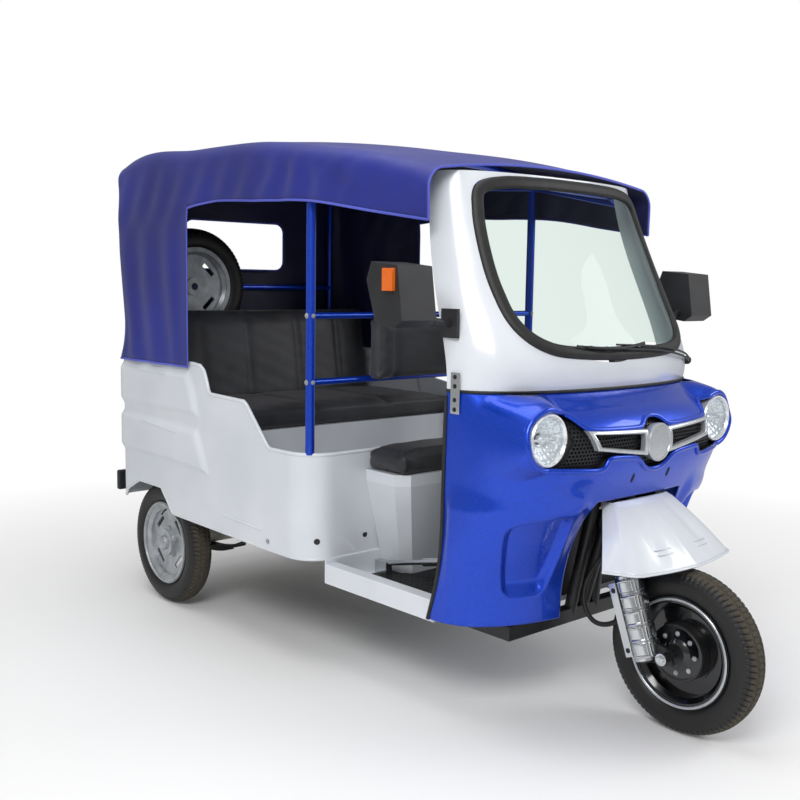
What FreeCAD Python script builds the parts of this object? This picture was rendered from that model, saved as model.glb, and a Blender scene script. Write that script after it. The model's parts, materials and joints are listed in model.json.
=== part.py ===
import FreeCAD, Part
import math
import os

Vec = FreeCAD.Vector
os.makedirs("parts", exist_ok=True)

# Passenger electric tricycle. Millimetres. It faces -Y, its left side is +X, +Z is up.
# The origin is on the ground, midway between the front tyre and the rear bumper.

# ---- driving dimensions ----
wheelbase = 2110.0
rear_overhang = 410.0        # rear axle to the bumper's rear face
body_half_width = 590.0      # outer face of the side panels
cab_half_width = 540.0       # outer face of the front cowl
roof_height = 1856.0         # crown of the canopy above the ground
wheel_radius = 250.0
tyre_width = 100.0
rim_radius = 165.0
rim_flange = 8.0
rear_track = 1050.0          # between the rear wheels' middles
wheel_gap = 6.0              # tyre to side panel
rake = 20.0                  # steering axis from the vertical, degrees
fork_setback = 70.0          # steering axis behind the front axle at axle height
fork_half_spread = 100.0     # leg centre from the middle plane
soft_gap = 0.3               # clearance of soft and curved faces
front_axle_y_drawn = -1135.0  # front axle of the hose's route as it is written
floor_height = 396.0         # underside of the passenger floor
tray_height = 300.0          # underside of the driver's floor tray
belt_height = 1010.0         # top of the rear quarter panels
low_wall_height = 745.0      # top of the low side wall
cowl_top = 1018.0            # seam between the cowl and the windscreen frame
cowl_bottom = 318.0
frame_top = 1670.0           # top of the windscreen frame
seat_height = 850.0          # top of the passenger cushion
cushion_thickness = 80.0
driver_seat_height = 760.0
skin = 6.0                   # moulded cowl and frame wall
cloth = 4.0                  # canopy wall

front_axle_y = -(wheelbase + rear_overhang + wheel_radius) / 2 + wheel_radius
rear_axle_y = front_axle_y + wheelbase
bumper_y = rear_axle_y + rear_overhang
body_rear_y = bumper_y - 80.0
partition_y = front_axle_y + 1097.0      # front face of the partition
cowl_rear_y = front_axle_y + 495.0       # rear edge of the cowl
axle_z = wheel_radius
wheel_x = rear_track / 2
panel_inner_x = wheel_x + tyre_width / 2 + wheel_gap
panel_wall = body_half_width - panel_inner_x
corner_radius = 110.0
rear_corner_radius = 60.0
post_radius = 19.0
post_x = body_half_width - 35.0
post_y = partition_y + 40.0
seat_front_y = rear_axle_y - 545.0
rake_rad = math.radians(rake)
rake_tan = math.tan(rake_rad)


def export(node, shapes):
    """Write one node; several solids go in as a compound."""
    if not isinstance(shapes, list):
        shapes = [shapes]
    solids = []
    for shape in shapes:
        solids.extend(shape.removeSplitter().Solids)
    shape = solids[0] if len(solids) == 1 else Part.makeCompound(solids)
    shape.exportStep("parts/" + node + ".step")
    print(node, len(solids), round(shape.Volume / 1e6, 3))


def box(x0, x1, y0, y1, z0, z1):
    """Block between two corners."""
    return Part.makeBox(x1 - x0, y1 - y0, z1 - z0, Vec(x0, y0, z0))


def fuse(shapes):
    """Union of a list of solids."""
    return shapes[0].multiFuse(shapes[1:])


def mirror_x(shape):
    """The same shape on the other side of the middle plane."""
    return shape.mirror(Vec(0, 0, 0), Vec(1, 0, 0))


def both_sides(shape):
    return [shape, mirror_x(shape)]


def rod(start, end, radius):
    """Round bar between two points."""
    a = Vec(*start)
    b = Vec(*end)
    return Part.makeCylinder(radius, (b - a).Length, a, b - a)


def tube_frame(points, radius):
    """Bent tube: round bars with a ball at each bend."""
    pieces = [rod(a, b, radius) for a, b in zip(points, points[1:])]
    pieces += [Part.makeSphere(radius, Vec(*p)) for p in points[1:-1]]
    return fuse(pieces)


def prism_y(outline, y0, y1):
    """Outline of (x, z) points carried along Y."""
    wire = Part.makePolygon([Vec(x, y0, z) for x, z in outline + outline[:1]])
    return Part.Face(wire).extrude(Vec(0, y1 - y0, 0))


def prism_x(outline, x0, x1):
    """Outline of (y, z) points carried along X."""
    wire = Part.makePolygon([Vec(x0, y, z) for y, z in outline + outline[:1]])
    return Part.Face(wire).extrude(Vec(x1 - x0, 0, 0))


def smooth_outline(points):
    """Closed smooth curve through (x, z) points, at y = 0."""
    curve = Part.BSplineCurve()
    curve.interpolate([Vec(x, 0, z) for x, z in points], PeriodicFlag=True)
    return Part.Wire(curve.toShape())


def smooth_prism_y(points, y0, y1):
    """Closed smooth (x, z) outline carried along Y."""
    face = Part.Face(smooth_outline(points))
    face.translate(Vec(0, y0, 0))
    return face.extrude(Vec(0, y1 - y0, 0))


def mirrored_outline(half):
    """Closed outline from its right half, given from bottom middle to top middle."""
    other = [(-x, z) for x, z in reversed(half) if x != 0]
    return half + other


# ---- steering axis ----
def axis_y(z):
    """Y of the steering axis at a height."""
    return front_axle_y + fork_setback + (z - axle_z) * rake_tan


# ---- cab shells: superellipse plan sections, blended over the height ----
# height, half width, rear edge behind the front axle, nose behind the front axle, fullness
cowl_sections = [
    (cowl_bottom, cab_half_width, 553.0, 292.0, 2.5),
    (cowl_bottom + 130.0, cab_half_width, 517.0, 275.0, 2.5),
    (cowl_bottom + 270.0, cab_half_width, 500.0, 232.0, 2.8),
    (cowl_bottom + 390.0, cab_half_width, 498.0, 172.0, 3.1),
    (cowl_bottom + 500.0, cab_half_width, 496.0, 132.0, 3.4),
    (cowl_bottom + 590.0, cab_half_width, 494.0, 135.0, 3.2),
    (cowl_bottom + 650.0, cab_half_width, 493.0, 180.0, 2.7),
    (cowl_top, cab_half_width, 493.0, 250.0, 2.3),
]
frame_sections = [
    (cowl_top + 6.0, cab_half_width, 493.0, 252.0, 2.3),
    (cowl_top + 94.0, cab_half_width - 5.0, 505.0, 240.0, 2.3),
    (cowl_top + 260.0, cab_half_width - 20.0, 562.0, 316.0, 2.3),
    (cowl_top + 360.0, cab_half_width - 35.0, 600.0, 364.0, 2.3),
    (cowl_top + 490.0, cab_half_width - 58.0, 640.0, 428.0, 2.4),
    (frame_top, cab_half_width - 85.0, 665.0, 505.0, 2.5),
]


def plan_curve(section, inset, steps=16):
    """Front half of a superellipse in plan, from the right rear end to the left."""
    z, half, rear, nose, fullness = section
    half = half - inset
    nose = nose + inset
    points = []
    for i in range(steps + 1):
        angle = math.pi * (1 - i / steps)
        side = math.copysign(abs(math.cos(angle)) ** (2 / fullness), math.cos(angle))
        reach = math.sin(angle) ** (2 / fullness) if 0 < i < steps else 0.0
        points.append(Vec(half * side, front_axle_y + rear - (rear - nose) * reach, z))
    return points


def spline_edge(points):
    curve = Part.BSplineCurve()
    curve.interpolate(points)
    return curve.toShape()


def plan_ring(section, outer_inset, inner_inset):
    """Closed wire of a thin wall's plan section."""
    outer = plan_curve(section, outer_inset)
    inner = plan_curve(section, inner_inset)
    edges = [spline_edge(outer), Part.makeLine(outer[-1], inner[-1])]
    edges += [spline_edge(list(reversed(inner))), Part.makeLine(inner[0], outer[0])]
    return Part.Wire(edges)


def cab_shell(sections, outer_inset, inner_inset):
    """Thin wall through all sections, inset from the outer surface."""
    return Part.makeLoft([plan_ring(s, outer_inset, inner_inset) for s in sections], True)


def cab_core(sections, inset):
    """Everything inside a shell, closed at the rear edge."""
    wires = []
    for section in sections:
        points = plan_curve(section, inset)
        wires.append(Part.Wire([spline_edge(points), Part.makeLine(points[-1], points[0])]))
    return Part.makeLoft(wires, True)


# ---- chassis ----
rail_x = 350.0
rail_half = 20.0
rail_height = 60.0
front_rail_height = 44.0
head_bottom_z = 715.0
head_top_z = 880.0
head_radius = 32.0
stem_radius = 21.0
stem_gap = 0.5
neck_foot_y = front_axle_y + 405.0
bulkhead_y = front_axle_y + 445.0        # front face of the bulkhead


def chassis_frame():
    """Two rails with a step up behind the partition, cross members and a braced head tube."""
    pieces = []
    step_y = partition_y + 30.0
    for side in (-1, 1):
        x = side * rail_x
        x0 = x - rail_half
        x1 = x + rail_half
        front_z = tray_height - front_rail_height
        pieces.append(box(x0, x1, neck_foot_y - 30, step_y + 40, front_z, tray_height))
        pieces.append(box(x0, x1, step_y, step_y + 40, front_z, floor_height))
        rear_z = floor_height - rail_height
        pieces.append(box(x0, x1, step_y, bumper_y - 30, rear_z, floor_height))
    members = [
        (neck_foot_y - 30, tray_height - front_rail_height, tray_height),
        (partition_y - 250, tray_height - front_rail_height, tray_height),
        (step_y, floor_height - rail_height, floor_height),
        (seat_front_y - 40, floor_height - rail_height, floor_height),
        (body_rear_y - 60, floor_height - rail_height, floor_height),
    ]
    for y, z0, z1 in members:
        pieces.append(box(-rail_x, rail_x, y, y + 40, z0, z1))
    outer = rod((0, axis_y(head_bottom_z), head_bottom_z), (0, axis_y(head_top_z), head_top_z), head_radius)
    bore = rod((0, axis_y(head_bottom_z - 20), head_bottom_z - 20),
               (0, axis_y(head_top_z + 20), head_top_z + 20), stem_radius + stem_gap)
    foot = (0, neck_foot_y - 10, tray_height - 22)
    for side in (-1, 1):
        brace_top = (side * 12, axis_y(head_top_z - 30) + 12, head_top_z - 30)
        pieces.append(rod((side * 60, neck_foot_y - 10, tray_height - 22), brace_top, 20))
    pieces.append(rod(foot, (0, axis_y(head_bottom_z + 30) + 10, head_bottom_z + 30), 20))
    pieces.append(outer)
    return fuse(pieces).cut(bore)


# ---- cowl, grille and lamps ----
lamp_x = 430.0
lamp_z = cowl_bottom + 581.0
lamp_radius = 76.0
lamp_rim = 12.0
lamp_face_y = front_axle_y + 190.0
lamp_depth = 120.0
disc_radius = 56.0
disc_z = cowl_bottom + 547.0
disc_thickness = 16.0
arch_half = 222.0
arch_top = cowl_bottom + 387.0


def front_fascia():
    """Moulded cowl with lamp pods, a grille opening and the front wheel's arch."""
    shell = cab_shell(cowl_sections, 0, skin)
    core = cab_core(cowl_sections, skin / 2)
    pods = []
    for side in (-1, 1):
        start = (side * lamp_x, lamp_face_y, lamp_z)
        end = (side * lamp_x, lamp_face_y + lamp_depth + 20, lamp_z)
        pods.append(rod(start, end, lamp_radius + lamp_rim).cut(core))
    shell = fuse([shell] + pods)
    for side in (-1, 1):
        shell = shell.cut(rod((side * lamp_x, lamp_face_y - 60, lamp_z),
                              (side * lamp_x, lamp_face_y + lamp_depth + soft_gap, lamp_z),
                              lamp_radius + soft_gap))
    shell = shell.cut(prism_y(grille_outline(0), front_axle_y, front_axle_y + 400))
    half = [(0, cowl_bottom - 10), (arch_half, cowl_bottom - 10), (arch_half + 13, cowl_bottom + 210),
            (arch_half + 13, arch_top - 60), (arch_half - 10, arch_top), (0, arch_top)]
    shell = shell.cut(prism_y(mirrored_outline(half), front_axle_y - 50, front_axle_y + 420))
    return max(shell.Solids, key=lambda s: s.Volume)


def grille_outline(grow):
    """Band between the lamps, dipping at the middle."""
    half = [(0, lamp_z - 102 - grow), (240, lamp_z - 100 - grow), (lamp_x - 92 + grow, lamp_z - 62),
            (lamp_x - 92 + grow, lamp_z + 40), (250, lamp_z + 42 + grow), (0, lamp_z + 34 + grow)]
    return mirrored_outline(half)


def grille_panel():
    """Mesh panel seated behind the cowl's opening."""
    shell = cab_shell(cowl_sections, skin + 1, skin + 5)
    panel = shell.common(prism_y(grille_outline(8), front_axle_y, front_axle_y + 400))
    lamps = [rod((s * lamp_x, lamp_face_y - 60, lamp_z), (s * lamp_x, lamp_face_y + 260, lamp_z),
                 lamp_radius + lamp_rim + 1) for s in (-1, 1)]
    return panel.cut(fuse(lamps))


def grille_trim():
    """A bright trapezoid frame each side of a plain disc."""
    shell = cab_shell(cowl_sections, -4, skin - 1)
    outer = [(58, lamp_z - 96), (215, lamp_z - 92), (300, lamp_z - 5), (290, lamp_z + 20), (58, lamp_z - 20)]
    inner = [(72, lamp_z - 84), (209, lamp_z - 80), (280, lamp_z - 5), (272, lamp_z + 6), (72, lamp_z - 32)]
    bar = shell.common(prism_y(outer, front_axle_y, front_axle_y + 300).cut(
        prism_y(inner, front_axle_y, front_axle_y + 300)))
    disc_y = front_axle_y + 118
    disc = rod((0, disc_y, disc_z), (0, disc_y + disc_thickness, disc_z), disc_radius)
    return [disc] + both_sides(bar)


def headlights():
    """Closed lamp bowls behind the lenses."""
    bowls = []
    for side in (-1, 1):
        bowls.append(rod((side * lamp_x, lamp_face_y + 24, lamp_z),
                         (side * lamp_x, lamp_face_y + lamp_depth, lamp_z), lamp_radius))
    return bowls


def headlight_lenses():
    """Clear lens in front of each bowl."""
    lenses = []
    for side in (-1, 1):
        lenses.append(rod((side * lamp_x, lamp_face_y + 6, lamp_z),
                          (side * lamp_x, lamp_face_y + 24 - soft_gap, lamp_z), lamp_radius - 1))
    return lenses


# ---- windscreen ----
screen_half = [(0, cowl_top + 95), (247, cowl_top + 104), (353, cowl_top + 128), (413, cowl_top + 188),
               (431, cowl_top + 290), (428, cowl_top + 412), (412, frame_top - 109), (385, frame_top - 40),
               (300, frame_top - 16), (147, frame_top - 10), (0, frame_top - 9)]
seal_width = 32.0


def screen_outline(inset):
    """Half outline of the screen opening, moved inwards about its own middle."""
    mid_z = (screen_half[0][1] + screen_half[-1][1]) / 2
    width = screen_half[4][0]
    height = (screen_half[-1][1] - screen_half[0][1]) / 2
    scale_x = (width - inset) / width
    scale_z = (height - inset) / height
    return mirrored_outline([(x * scale_x, mid_z + (z - mid_z) * scale_z) for x, z in screen_half])


def windscreen_frame():
    """Moulded surround of the windscreen with its side pillars and a lip inside the cowl's top."""
    opening = smooth_prism_y(screen_outline(0), front_axle_y, front_axle_y + 640)
    shell = cab_shell(frame_sections, 0, skin).cut(opening)
    roof_core = cab_core(frame_sections, 0)
    cap = roof_core.common(box(-600, 600, front_axle_y, front_axle_y + 900, frame_top - 6, frame_top))
    foot = frame_sections[0]
    lip_sections = [(cowl_top - 10.0,) + foot[1:], (cowl_top + 9.0,) + foot[1:]]
    lip = cab_shell(lip_sections, skin + soft_gap, 2 * skin)
    ledge_sections = [(cowl_top + 7.0,) + foot[1:], (cowl_top + 12.0,) + foot[1:]]
    ledge = cab_shell(ledge_sections, skin / 2, 2 * skin + 1)
    return fuse([shell, cap, ledge, lip])


def windscreen_seal():
    """Rubber strip round the glass, proud of the frame."""
    outer = smooth_prism_y(screen_outline(soft_gap), front_axle_y, front_axle_y + 640)
    inner = smooth_prism_y(screen_outline(seal_width), front_axle_y, front_axle_y + 640)
    ring = cab_shell(frame_sections, -4, skin + 6).common(outer)
    return ring.cut(inner)


def windscreen_glass():
    """Curved pane held by the strip."""
    inner = smooth_prism_y(screen_outline(seal_width + soft_gap), front_axle_y, front_axle_y + 640)
    return cab_shell(frame_sections, 2, 7).common(inner)


def wiper():
    """Blade low on the glass with a long arm to a pivot at the left lower corner."""
    z = cowl_top + 125
    y = front_axle_y
    pivot = (452, y + 318, cowl_top + 62)
    blade = tube_frame([(-245, y + 262, z + 8), (-90, y + 228, z + 2), (70, y + 226, z)], 6)
    arm = tube_frame([(-90, y + 222, z + 6), (180, y + 222, z - 10), (452, y + 300, cowl_top + 66)], 5)
    hub = rod(pivot, (452, y + 290, cowl_top + 68), 14)
    return fuse([blade, arm, hub])


# ---- mirrors ----
mirror_z = cowl_top + 281.0
mirror_y = front_axle_y + 530.0


def mirror_side():
    """Angular housing on a short arm from a plate on the frame, left side."""
    profile = [(mirror_y - 92, mirror_z - 70), (mirror_y - 60, mirror_z - 91), (mirror_y + 20, mirror_z - 80),
               (mirror_y + 60, mirror_z + 40), (mirror_y + 40, mirror_z + 91), (mirror_y - 70, mirror_z + 80)]
    housing = prism_x(profile, 640, 770)
    hollow = prism_x([(mirror_y + 12, mirror_z - 68), (mirror_y + 90, mirror_z - 68),
                      (mirror_y + 90, mirror_z + 78), (mirror_y + 36, mirror_z + 78)], 650, 760)
    plate_x = cab_half_width - 14
    plate = box(plate_x, plate_x + 12, mirror_y - 70, mirror_y - 5, mirror_z - 125, mirror_z - 40)
    arm = tube_frame([(plate_x + 6, mirror_y - 38, mirror_z - 85), (600, mirror_y - 38, mirror_z - 75),
                      (680, mirror_y - 30, mirror_z - 40)], 11)
    housing = housing.cut(hollow).fuse([plate, arm])
    frame = cab_core(frame_sections, -soft_gap)
    return housing.cut(frame)


def mirror_glass():
    """Glass in the housing's rear face, left side."""
    return prism_x([(mirror_y + 13, mirror_z - 66), (mirror_y + 18, mirror_z - 66),
                    (mirror_y + 42, mirror_z + 76), (mirror_y + 37, mirror_z + 76)], 652, 758)


def mirror_indicator():
    """Amber lamp on the housing's outer front corner, left side."""
    x = 770 + soft_gap
    return box(x, x + 12, mirror_y - 62, mirror_y - 20, mirror_z + 10, mirror_z + 72)


# ---- cab inside ----
def front_bulkhead():
    """Wall between the footwell and the front wheel, behind the head tube's braces."""
    core = cab_core(cowl_sections, skin + 12)
    return core.common(box(-600, 600, bulkhead_y, bulkhead_y + 4, cowl_bottom + 1, cowl_top - 80))


def dashboard():
    """Shelf under the windscreen, open round the steering stem."""
    core = cab_core(cowl_sections, skin + 5)
    shelf = core.common(box(-600, 600, front_axle_y + 240, bulkhead_y + 4, cowl_top - 79, cowl_top - 12))
    slot = box(-75, 75, axis_y(cowl_top - 79) - 60, bulkhead_y + 50, cowl_top - 90, cowl_top)
    lamps = [rod((s * lamp_x, lamp_face_y, lamp_z), (s * lamp_x, lamp_face_y + 260, lamp_z),
                 lamp_radius + lamp_rim + 4) for s in (-1, 1)]
    return shelf.cut(fuse([slot] + lamps))


tray_half = 515.0
sill_height = 68.0
sill_width = 45.0
tray_wall = 6.0


def driver_floor_tray():
    """Floor with raised sills; its rear rises to the partition."""
    front = bulkhead_y + 4
    rear = partition_y
    outer = box(-tray_half, tray_half, front, rear, tray_height, tray_height + sill_height)
    inner = box(-tray_half + sill_width, tray_half - sill_width, front + tray_wall, rear - tray_wall,
                tray_height + tray_wall, tray_height + sill_height + 1)
    back = box(-tray_half, tray_half, rear - tray_wall, rear, tray_height, floor_height - 14)
    return fuse([outer.cut(inner), back]).cut(fuse([
        box(-tray_half - 1, -tray_half + 60, front - 1, cowl_rear_y + 60, tray_height - 1, 500),
        box(tray_half - 60, tray_half + 1, front - 1, cowl_rear_y + 60, tray_height - 1, 500)]))


# ---- body panels ----
def wall_band(y_face, sign, radius):
    """Plan of a cross wall with rounded ends that meet the side panels."""
    wall = panel_wall
    mid_x = body_half_width - radius
    centre_y = y_face + sign * radius
    cut_y = centre_y

    def on_arc(x_centre, r, angle):
        a = math.radians(angle)
        return Vec(x_centre + r * math.cos(a), centre_y - sign * r * math.sin(a), 0)

    def arc(x_centre, r, angles):
        return Part.Arc(*[on_arc(x_centre, r, a) for a in angles]).toShape()

    edges = [arc(mid_x, radius, (0, 45, 90))]
    edges.append(Part.makeLine(Vec(mid_x, y_face, 0), Vec(-mid_x, y_face, 0)))
    edges.append(arc(-mid_x, radius, (90, 135, 180)))
    edges.append(Part.makeLine(Vec(-body_half_width, cut_y, 0), Vec(-body_half_width + wall, cut_y, 0)))
    edges.append(arc(-mid_x, radius - wall, (180, 135, 90)))
    edges.append(Part.makeLine(Vec(-mid_x, y_face + sign * wall, 0), Vec(mid_x, y_face + sign * wall, 0)))
    edges.append(arc(mid_x, radius - wall, (90, 45, 0)))
    edges.append(Part.makeLine(Vec(body_half_width - wall, cut_y, 0), Vec(body_half_width, cut_y, 0)))
    return Part.Face(Part.Wire(edges))


def front_partition():
    """Wall behind the driver, from the floor to the low wall's height."""
    face = wall_band(partition_y, 1, corner_radius)
    wall = face.extrude(Vec(0, 0, low_wall_height - floor_height + 14))
    return wall.translated(Vec(0, 0, floor_height - 14))


def rear_panel():
    """Rear wall of the body with rounded corners."""
    face = wall_band(body_rear_y, -1, rear_corner_radius)
    return face.extrude(Vec(0, 0, belt_height - floor_height - 14)).translated(Vec(0, 0, floor_height + 14))


def arch_outline():
    """Lower edge of the rear quarter, from the arch's front foot to the rear corner."""
    y = rear_axle_y
    end_y = body_rear_y - rear_corner_radius - soft_gap
    return [(y - 109, floor_height - 2), (y - 70, axle_z + 185), (y - 18, axle_z + 238),
            (y + 165, axle_z + 240), (end_y, axle_z + 190), (end_y, belt_height)]


lip_width = 22.0


def side_panel(entry):
    """Outer side skin; with entry true it stops at the passenger opening's rear edge."""
    y = rear_axle_y
    x0 = panel_inner_x
    x1 = body_half_width
    steps = [(y - 325, belt_height), (y - 374, belt_height - 68), (y - 387, low_wall_height + 160),
             (y - 623, low_wall_height + 152)]
    if entry:
        lower = [(y - 640, low_wall_height + 120), (y - 640, floor_height - 8)]
    else:
        front = partition_y + corner_radius + soft_gap
        lower = [(y - 726, low_wall_height + 54), (y - 775, low_wall_height), (front, low_wall_height),
                 (front, floor_height - 14), (y - 755, floor_height - 14)]
    outline = arch_outline() + steps + lower
    skin_side = prism_x(outline, x0, x1)
    inner = x0 - lip_width
    shifted = [(a + panel_wall, b - panel_wall) for a, b in outline]
    lip = prism_x(outline, inner, x0).common(box(-700, 700, -3000, y - 374, floor_height + 12, 2000))
    return fuse([skin_side, lip.cut(prism_x(shifted, inner - 1, x0 + 1))])


def passenger_floor():
    """Floor plate on the rails, narrowed between the rear wheels."""
    front = partition_y + panel_wall + soft_gap
    wide = panel_inner_x - soft_gap
    narrow_y = rear_axle_y - wheel_radius - 40
    narrow = wheel_x - tyre_width / 2 - 40
    rear = body_rear_y - panel_wall - soft_gap
    plate = box(-narrow, narrow, front, rear, floor_height, floor_height + 12)
    wide_part = box(-wide, wide, front, narrow_y, floor_height, floor_height + 12)
    r = corner_radius
    corners = []
    for side in (-1, 1):
        ends = sorted((side * (body_half_width - r), side * 700))
        block = box(*ends, partition_y - 50, partition_y + r, 0, 1000)
        centre = Vec(side * (body_half_width - r), partition_y + r, 0)
        corners.append(block.cut(Part.makeCylinder(r - panel_wall - soft_gap, 1000, centre)))
    return fuse([plate, wide_part]).cut(fuse(corners))


seat_board_z = seat_height - cushion_thickness - 2
seat_wall = 12.0


def seat_base():
    """Front panel, top board and wheel boxes under the passenger seat."""
    half = panel_inner_x - 24
    z0 = floor_height + 12
    rear = rear_axle_y + 60
    inner = wheel_x - tyre_width / 2 - 40
    front = seat_front_y + 5
    pieces = [box(-half, half, front, front + seat_wall, z0, seat_board_z)]
    pieces.append(box(-half, half, front, body_rear_y - 130, seat_board_z - seat_wall, seat_board_z))
    for side in (-1, 1):
        x = side * (inner - seat_wall / 2)
        pieces.append(box(x - seat_wall / 2, x + seat_wall / 2, front, rear + 200, z0, seat_board_z))
    return fuse(pieces)


def rounded(shape, radius):
    """Soft block with all its edges rounded."""
    return shape.makeFillet(radius, shape.Edges)


def passenger_cushion():
    half = panel_inner_x - 26
    rear = rear_axle_y - 10
    return rounded(box(-half, half, seat_front_y, rear, seat_board_z + soft_gap, seat_height), 22)


def passenger_backrest():
    """Raked pad across the body behind the cushion."""
    half = panel_inner_x - 26
    y = rear_axle_y
    outline = [(y - 8, seat_board_z + soft_gap), (y + 60, seat_board_z + soft_gap),
               (y + 150, seat_height + 360), (y + 60, seat_height + 366)]
    return rounded(prism_x(outline, -half, half), 18)


def driver_seat_base():
    """Moulded pedestal in front of the partition, tapering down."""
    y = partition_y - tray_wall - soft_gap
    top = [(-340, y), (-340, y - 150), (-300, y - 190), (300, y - 190), (340, y - 150), (340, y)]
    foot = [(-250, y), (-250, y - 90), (-220, y - 120), (220, y - 120), (250, y - 90), (250, y)]
    z1 = driver_seat_height - 80
    z0 = tray_height + tray_wall
    wires = []
    for outline, z in ((foot, z0), (top, z1 - 40), (top, z1)):
        wires.append(Part.makePolygon([Vec(a, b, z) for a, b in outline + outline[:1]]))
    return Part.makeLoft(wires, True, True)


def driver_cushion():
    y = partition_y - tray_wall
    z = driver_seat_height - 80 + soft_gap
    return rounded(box(-345, 345, y - 200, y, z, driver_seat_height), 20)


def driver_backrest():
    """Pad hung on the cross rails ahead of the posts."""
    y = partition_y
    z = low_wall_height
    return rounded(box(-320, 320, y - 42, y + 28 - soft_gap, z + 245, z + 465), 16)


# ---- canopy ----
canopy_front_y = front_axle_y + 575.0
flap_rear_y = rear_axle_y - 260.0
canopy_half = body_half_width + 10.0
hem_z = belt_height - 13.0
shoulder_radius = 60.0
window_half = 268.0


def roof_station(y):
    """Crown height, half width and flap edge height at a station along the roof."""
    stations = [
        (canopy_front_y, roof_height - 148, cab_half_width + 4, roof_height - 330),
        (front_axle_y + 786, roof_height - 96, body_half_width - 12, roof_height - 306),
        (partition_y - 31, roof_height - 52, canopy_half, roof_height - 268),
        (partition_y + 300, roof_height - 10, canopy_half, roof_height - 248),
        (flap_rear_y, roof_height, canopy_half, roof_height - 250),
        (body_rear_y - 120, roof_height, canopy_half, roof_height - 250),
        (body_rear_y, roof_height - 40, canopy_half, roof_height - 250),
    ]
    for low, high in zip(stations, stations[1:]):
        if y <= high[0] + 1e-6:
            t = (y - low[0]) / (high[0] - low[0])
            return [a + (b - a) * t for a, b in zip(low[1:], high[1:])]
    return list(stations[-1][1:])


def roof_ring(y, bottom_z, outer_inset, inner_inset):
    """Closed wire of the cloth's section: side, rounded shoulder, crown and back inside."""
    crown, half, flap = roof_station(y)
    bottom = flap if bottom_z is None else bottom_z

    def side_points(inset):
        w = half - inset
        top = crown - 34 - inset
        r = shoulder_radius
        points = [Vec(-w, y, bottom), Vec(-w, y, top - r)]
        mid = Vec(-w + r * 0.293, y, top - r * 0.293)
        return points, mid, Vec(-w + r, y, top), Vec(0, y, crown - inset)

    def contour(inset):
        (low, high), mid, shoulder, peak = side_points(inset)

        def flip(p):
            return Vec(-p.x, p.y, p.z)

        return [Part.makeLine(low, high), Part.Arc(high, mid, shoulder).toShape(),
                Part.Arc(shoulder, peak, flip(shoulder)).toShape(),
                Part.Arc(flip(shoulder), flip(mid), flip(high)).toShape(),
                Part.makeLine(flip(high), flip(low))], low, flip(low)

    outer, outer_start, outer_end = contour(outer_inset)
    inner, inner_start, inner_end = contour(inner_inset)
    edges = outer + [Part.makeLine(outer_end, inner_end)] + inner + [Part.makeLine(inner_start, outer_start)]
    return Part.Wire(Part.__sortEdges__(edges))


def roof_fill(y, bottom_z, inset):
    """Face inside the cloth's section."""
    crown, half, _ = roof_station(y)
    w = half - inset
    top = crown - 34 - inset
    r = shoulder_radius
    a = Vec(-w, y, bottom_z)
    b = Vec(-w, y, top - r)
    m = Vec(-w + r * 0.293, y, top - r * 0.293)
    c = Vec(-w + r, y, top)
    p = Vec(0, y, crown - inset)
    edges = [Part.makeLine(a, b), Part.Arc(b, m, c).toShape(), Part.Arc(c, p, Vec(-c.x, y, c.z)).toShape(),
             Part.Arc(Vec(-c.x, y, c.z), Vec(-m.x, y, m.z), Vec(-b.x, y, b.z)).toShape(),
             Part.makeLine(Vec(-b.x, y, b.z), Vec(-a.x, y, a.z)), Part.makeLine(Vec(-a.x, y, a.z), a)]
    return Part.Face(Part.Wire(Part.__sortEdges__(edges)))


def canopy():
    """Cloth roof with short side flaps, full sides at the rear and a rear wall with a window."""
    front_ys = [canopy_front_y, front_axle_y + 786, partition_y - 31, partition_y + 300, flap_rear_y]
    rear_ys = [flap_rear_y, body_rear_y - 120, body_rear_y]
    pieces = []
    for stations, foot_z in ((front_ys, None), (rear_ys, hem_z)):
        for low, high in zip(stations, stations[1:]):
            rings = [roof_ring(y, foot_z, 0, cloth) for y in (low, high)]
            pieces.append(Part.makeLoft(rings, True, True))
    back = roof_fill(body_rear_y, hem_z, 0).extrude(Vec(0, cloth, 0))
    z0 = roof_height - 477
    z1 = roof_height - 256
    window = box(-window_half, window_half, body_rear_y - 50, body_rear_y + 50, z0, z1)
    window = window.makeFillet(45, [e for e in window.Edges if abs(e.tangentAt(e.FirstParameter).y) > 0.9])
    pieces.append(back.cut(window))
    return fuse(pieces)


# ---- canopy frame ----
tube_gap = 3.0
roof_tube = 13.0


def hoop(y, foot_z, radius, half):
    """Two posts and the bow over them."""
    crown = min(roof_station(y - radius)[0], roof_station(y + radius)[0])
    z = crown - cloth - radius - tube_gap
    side_z = z - 34 - 30
    right = [(-half, y, foot_z), (-half, y, side_z - 10), (-half + 50, y, z - 36), (-half / 2, y, z - 9)]
    left = [(-x, y, z) for x, y, z in right[::-1]]
    return tube_frame(right + [(0, y, z)] + left, radius)


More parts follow.
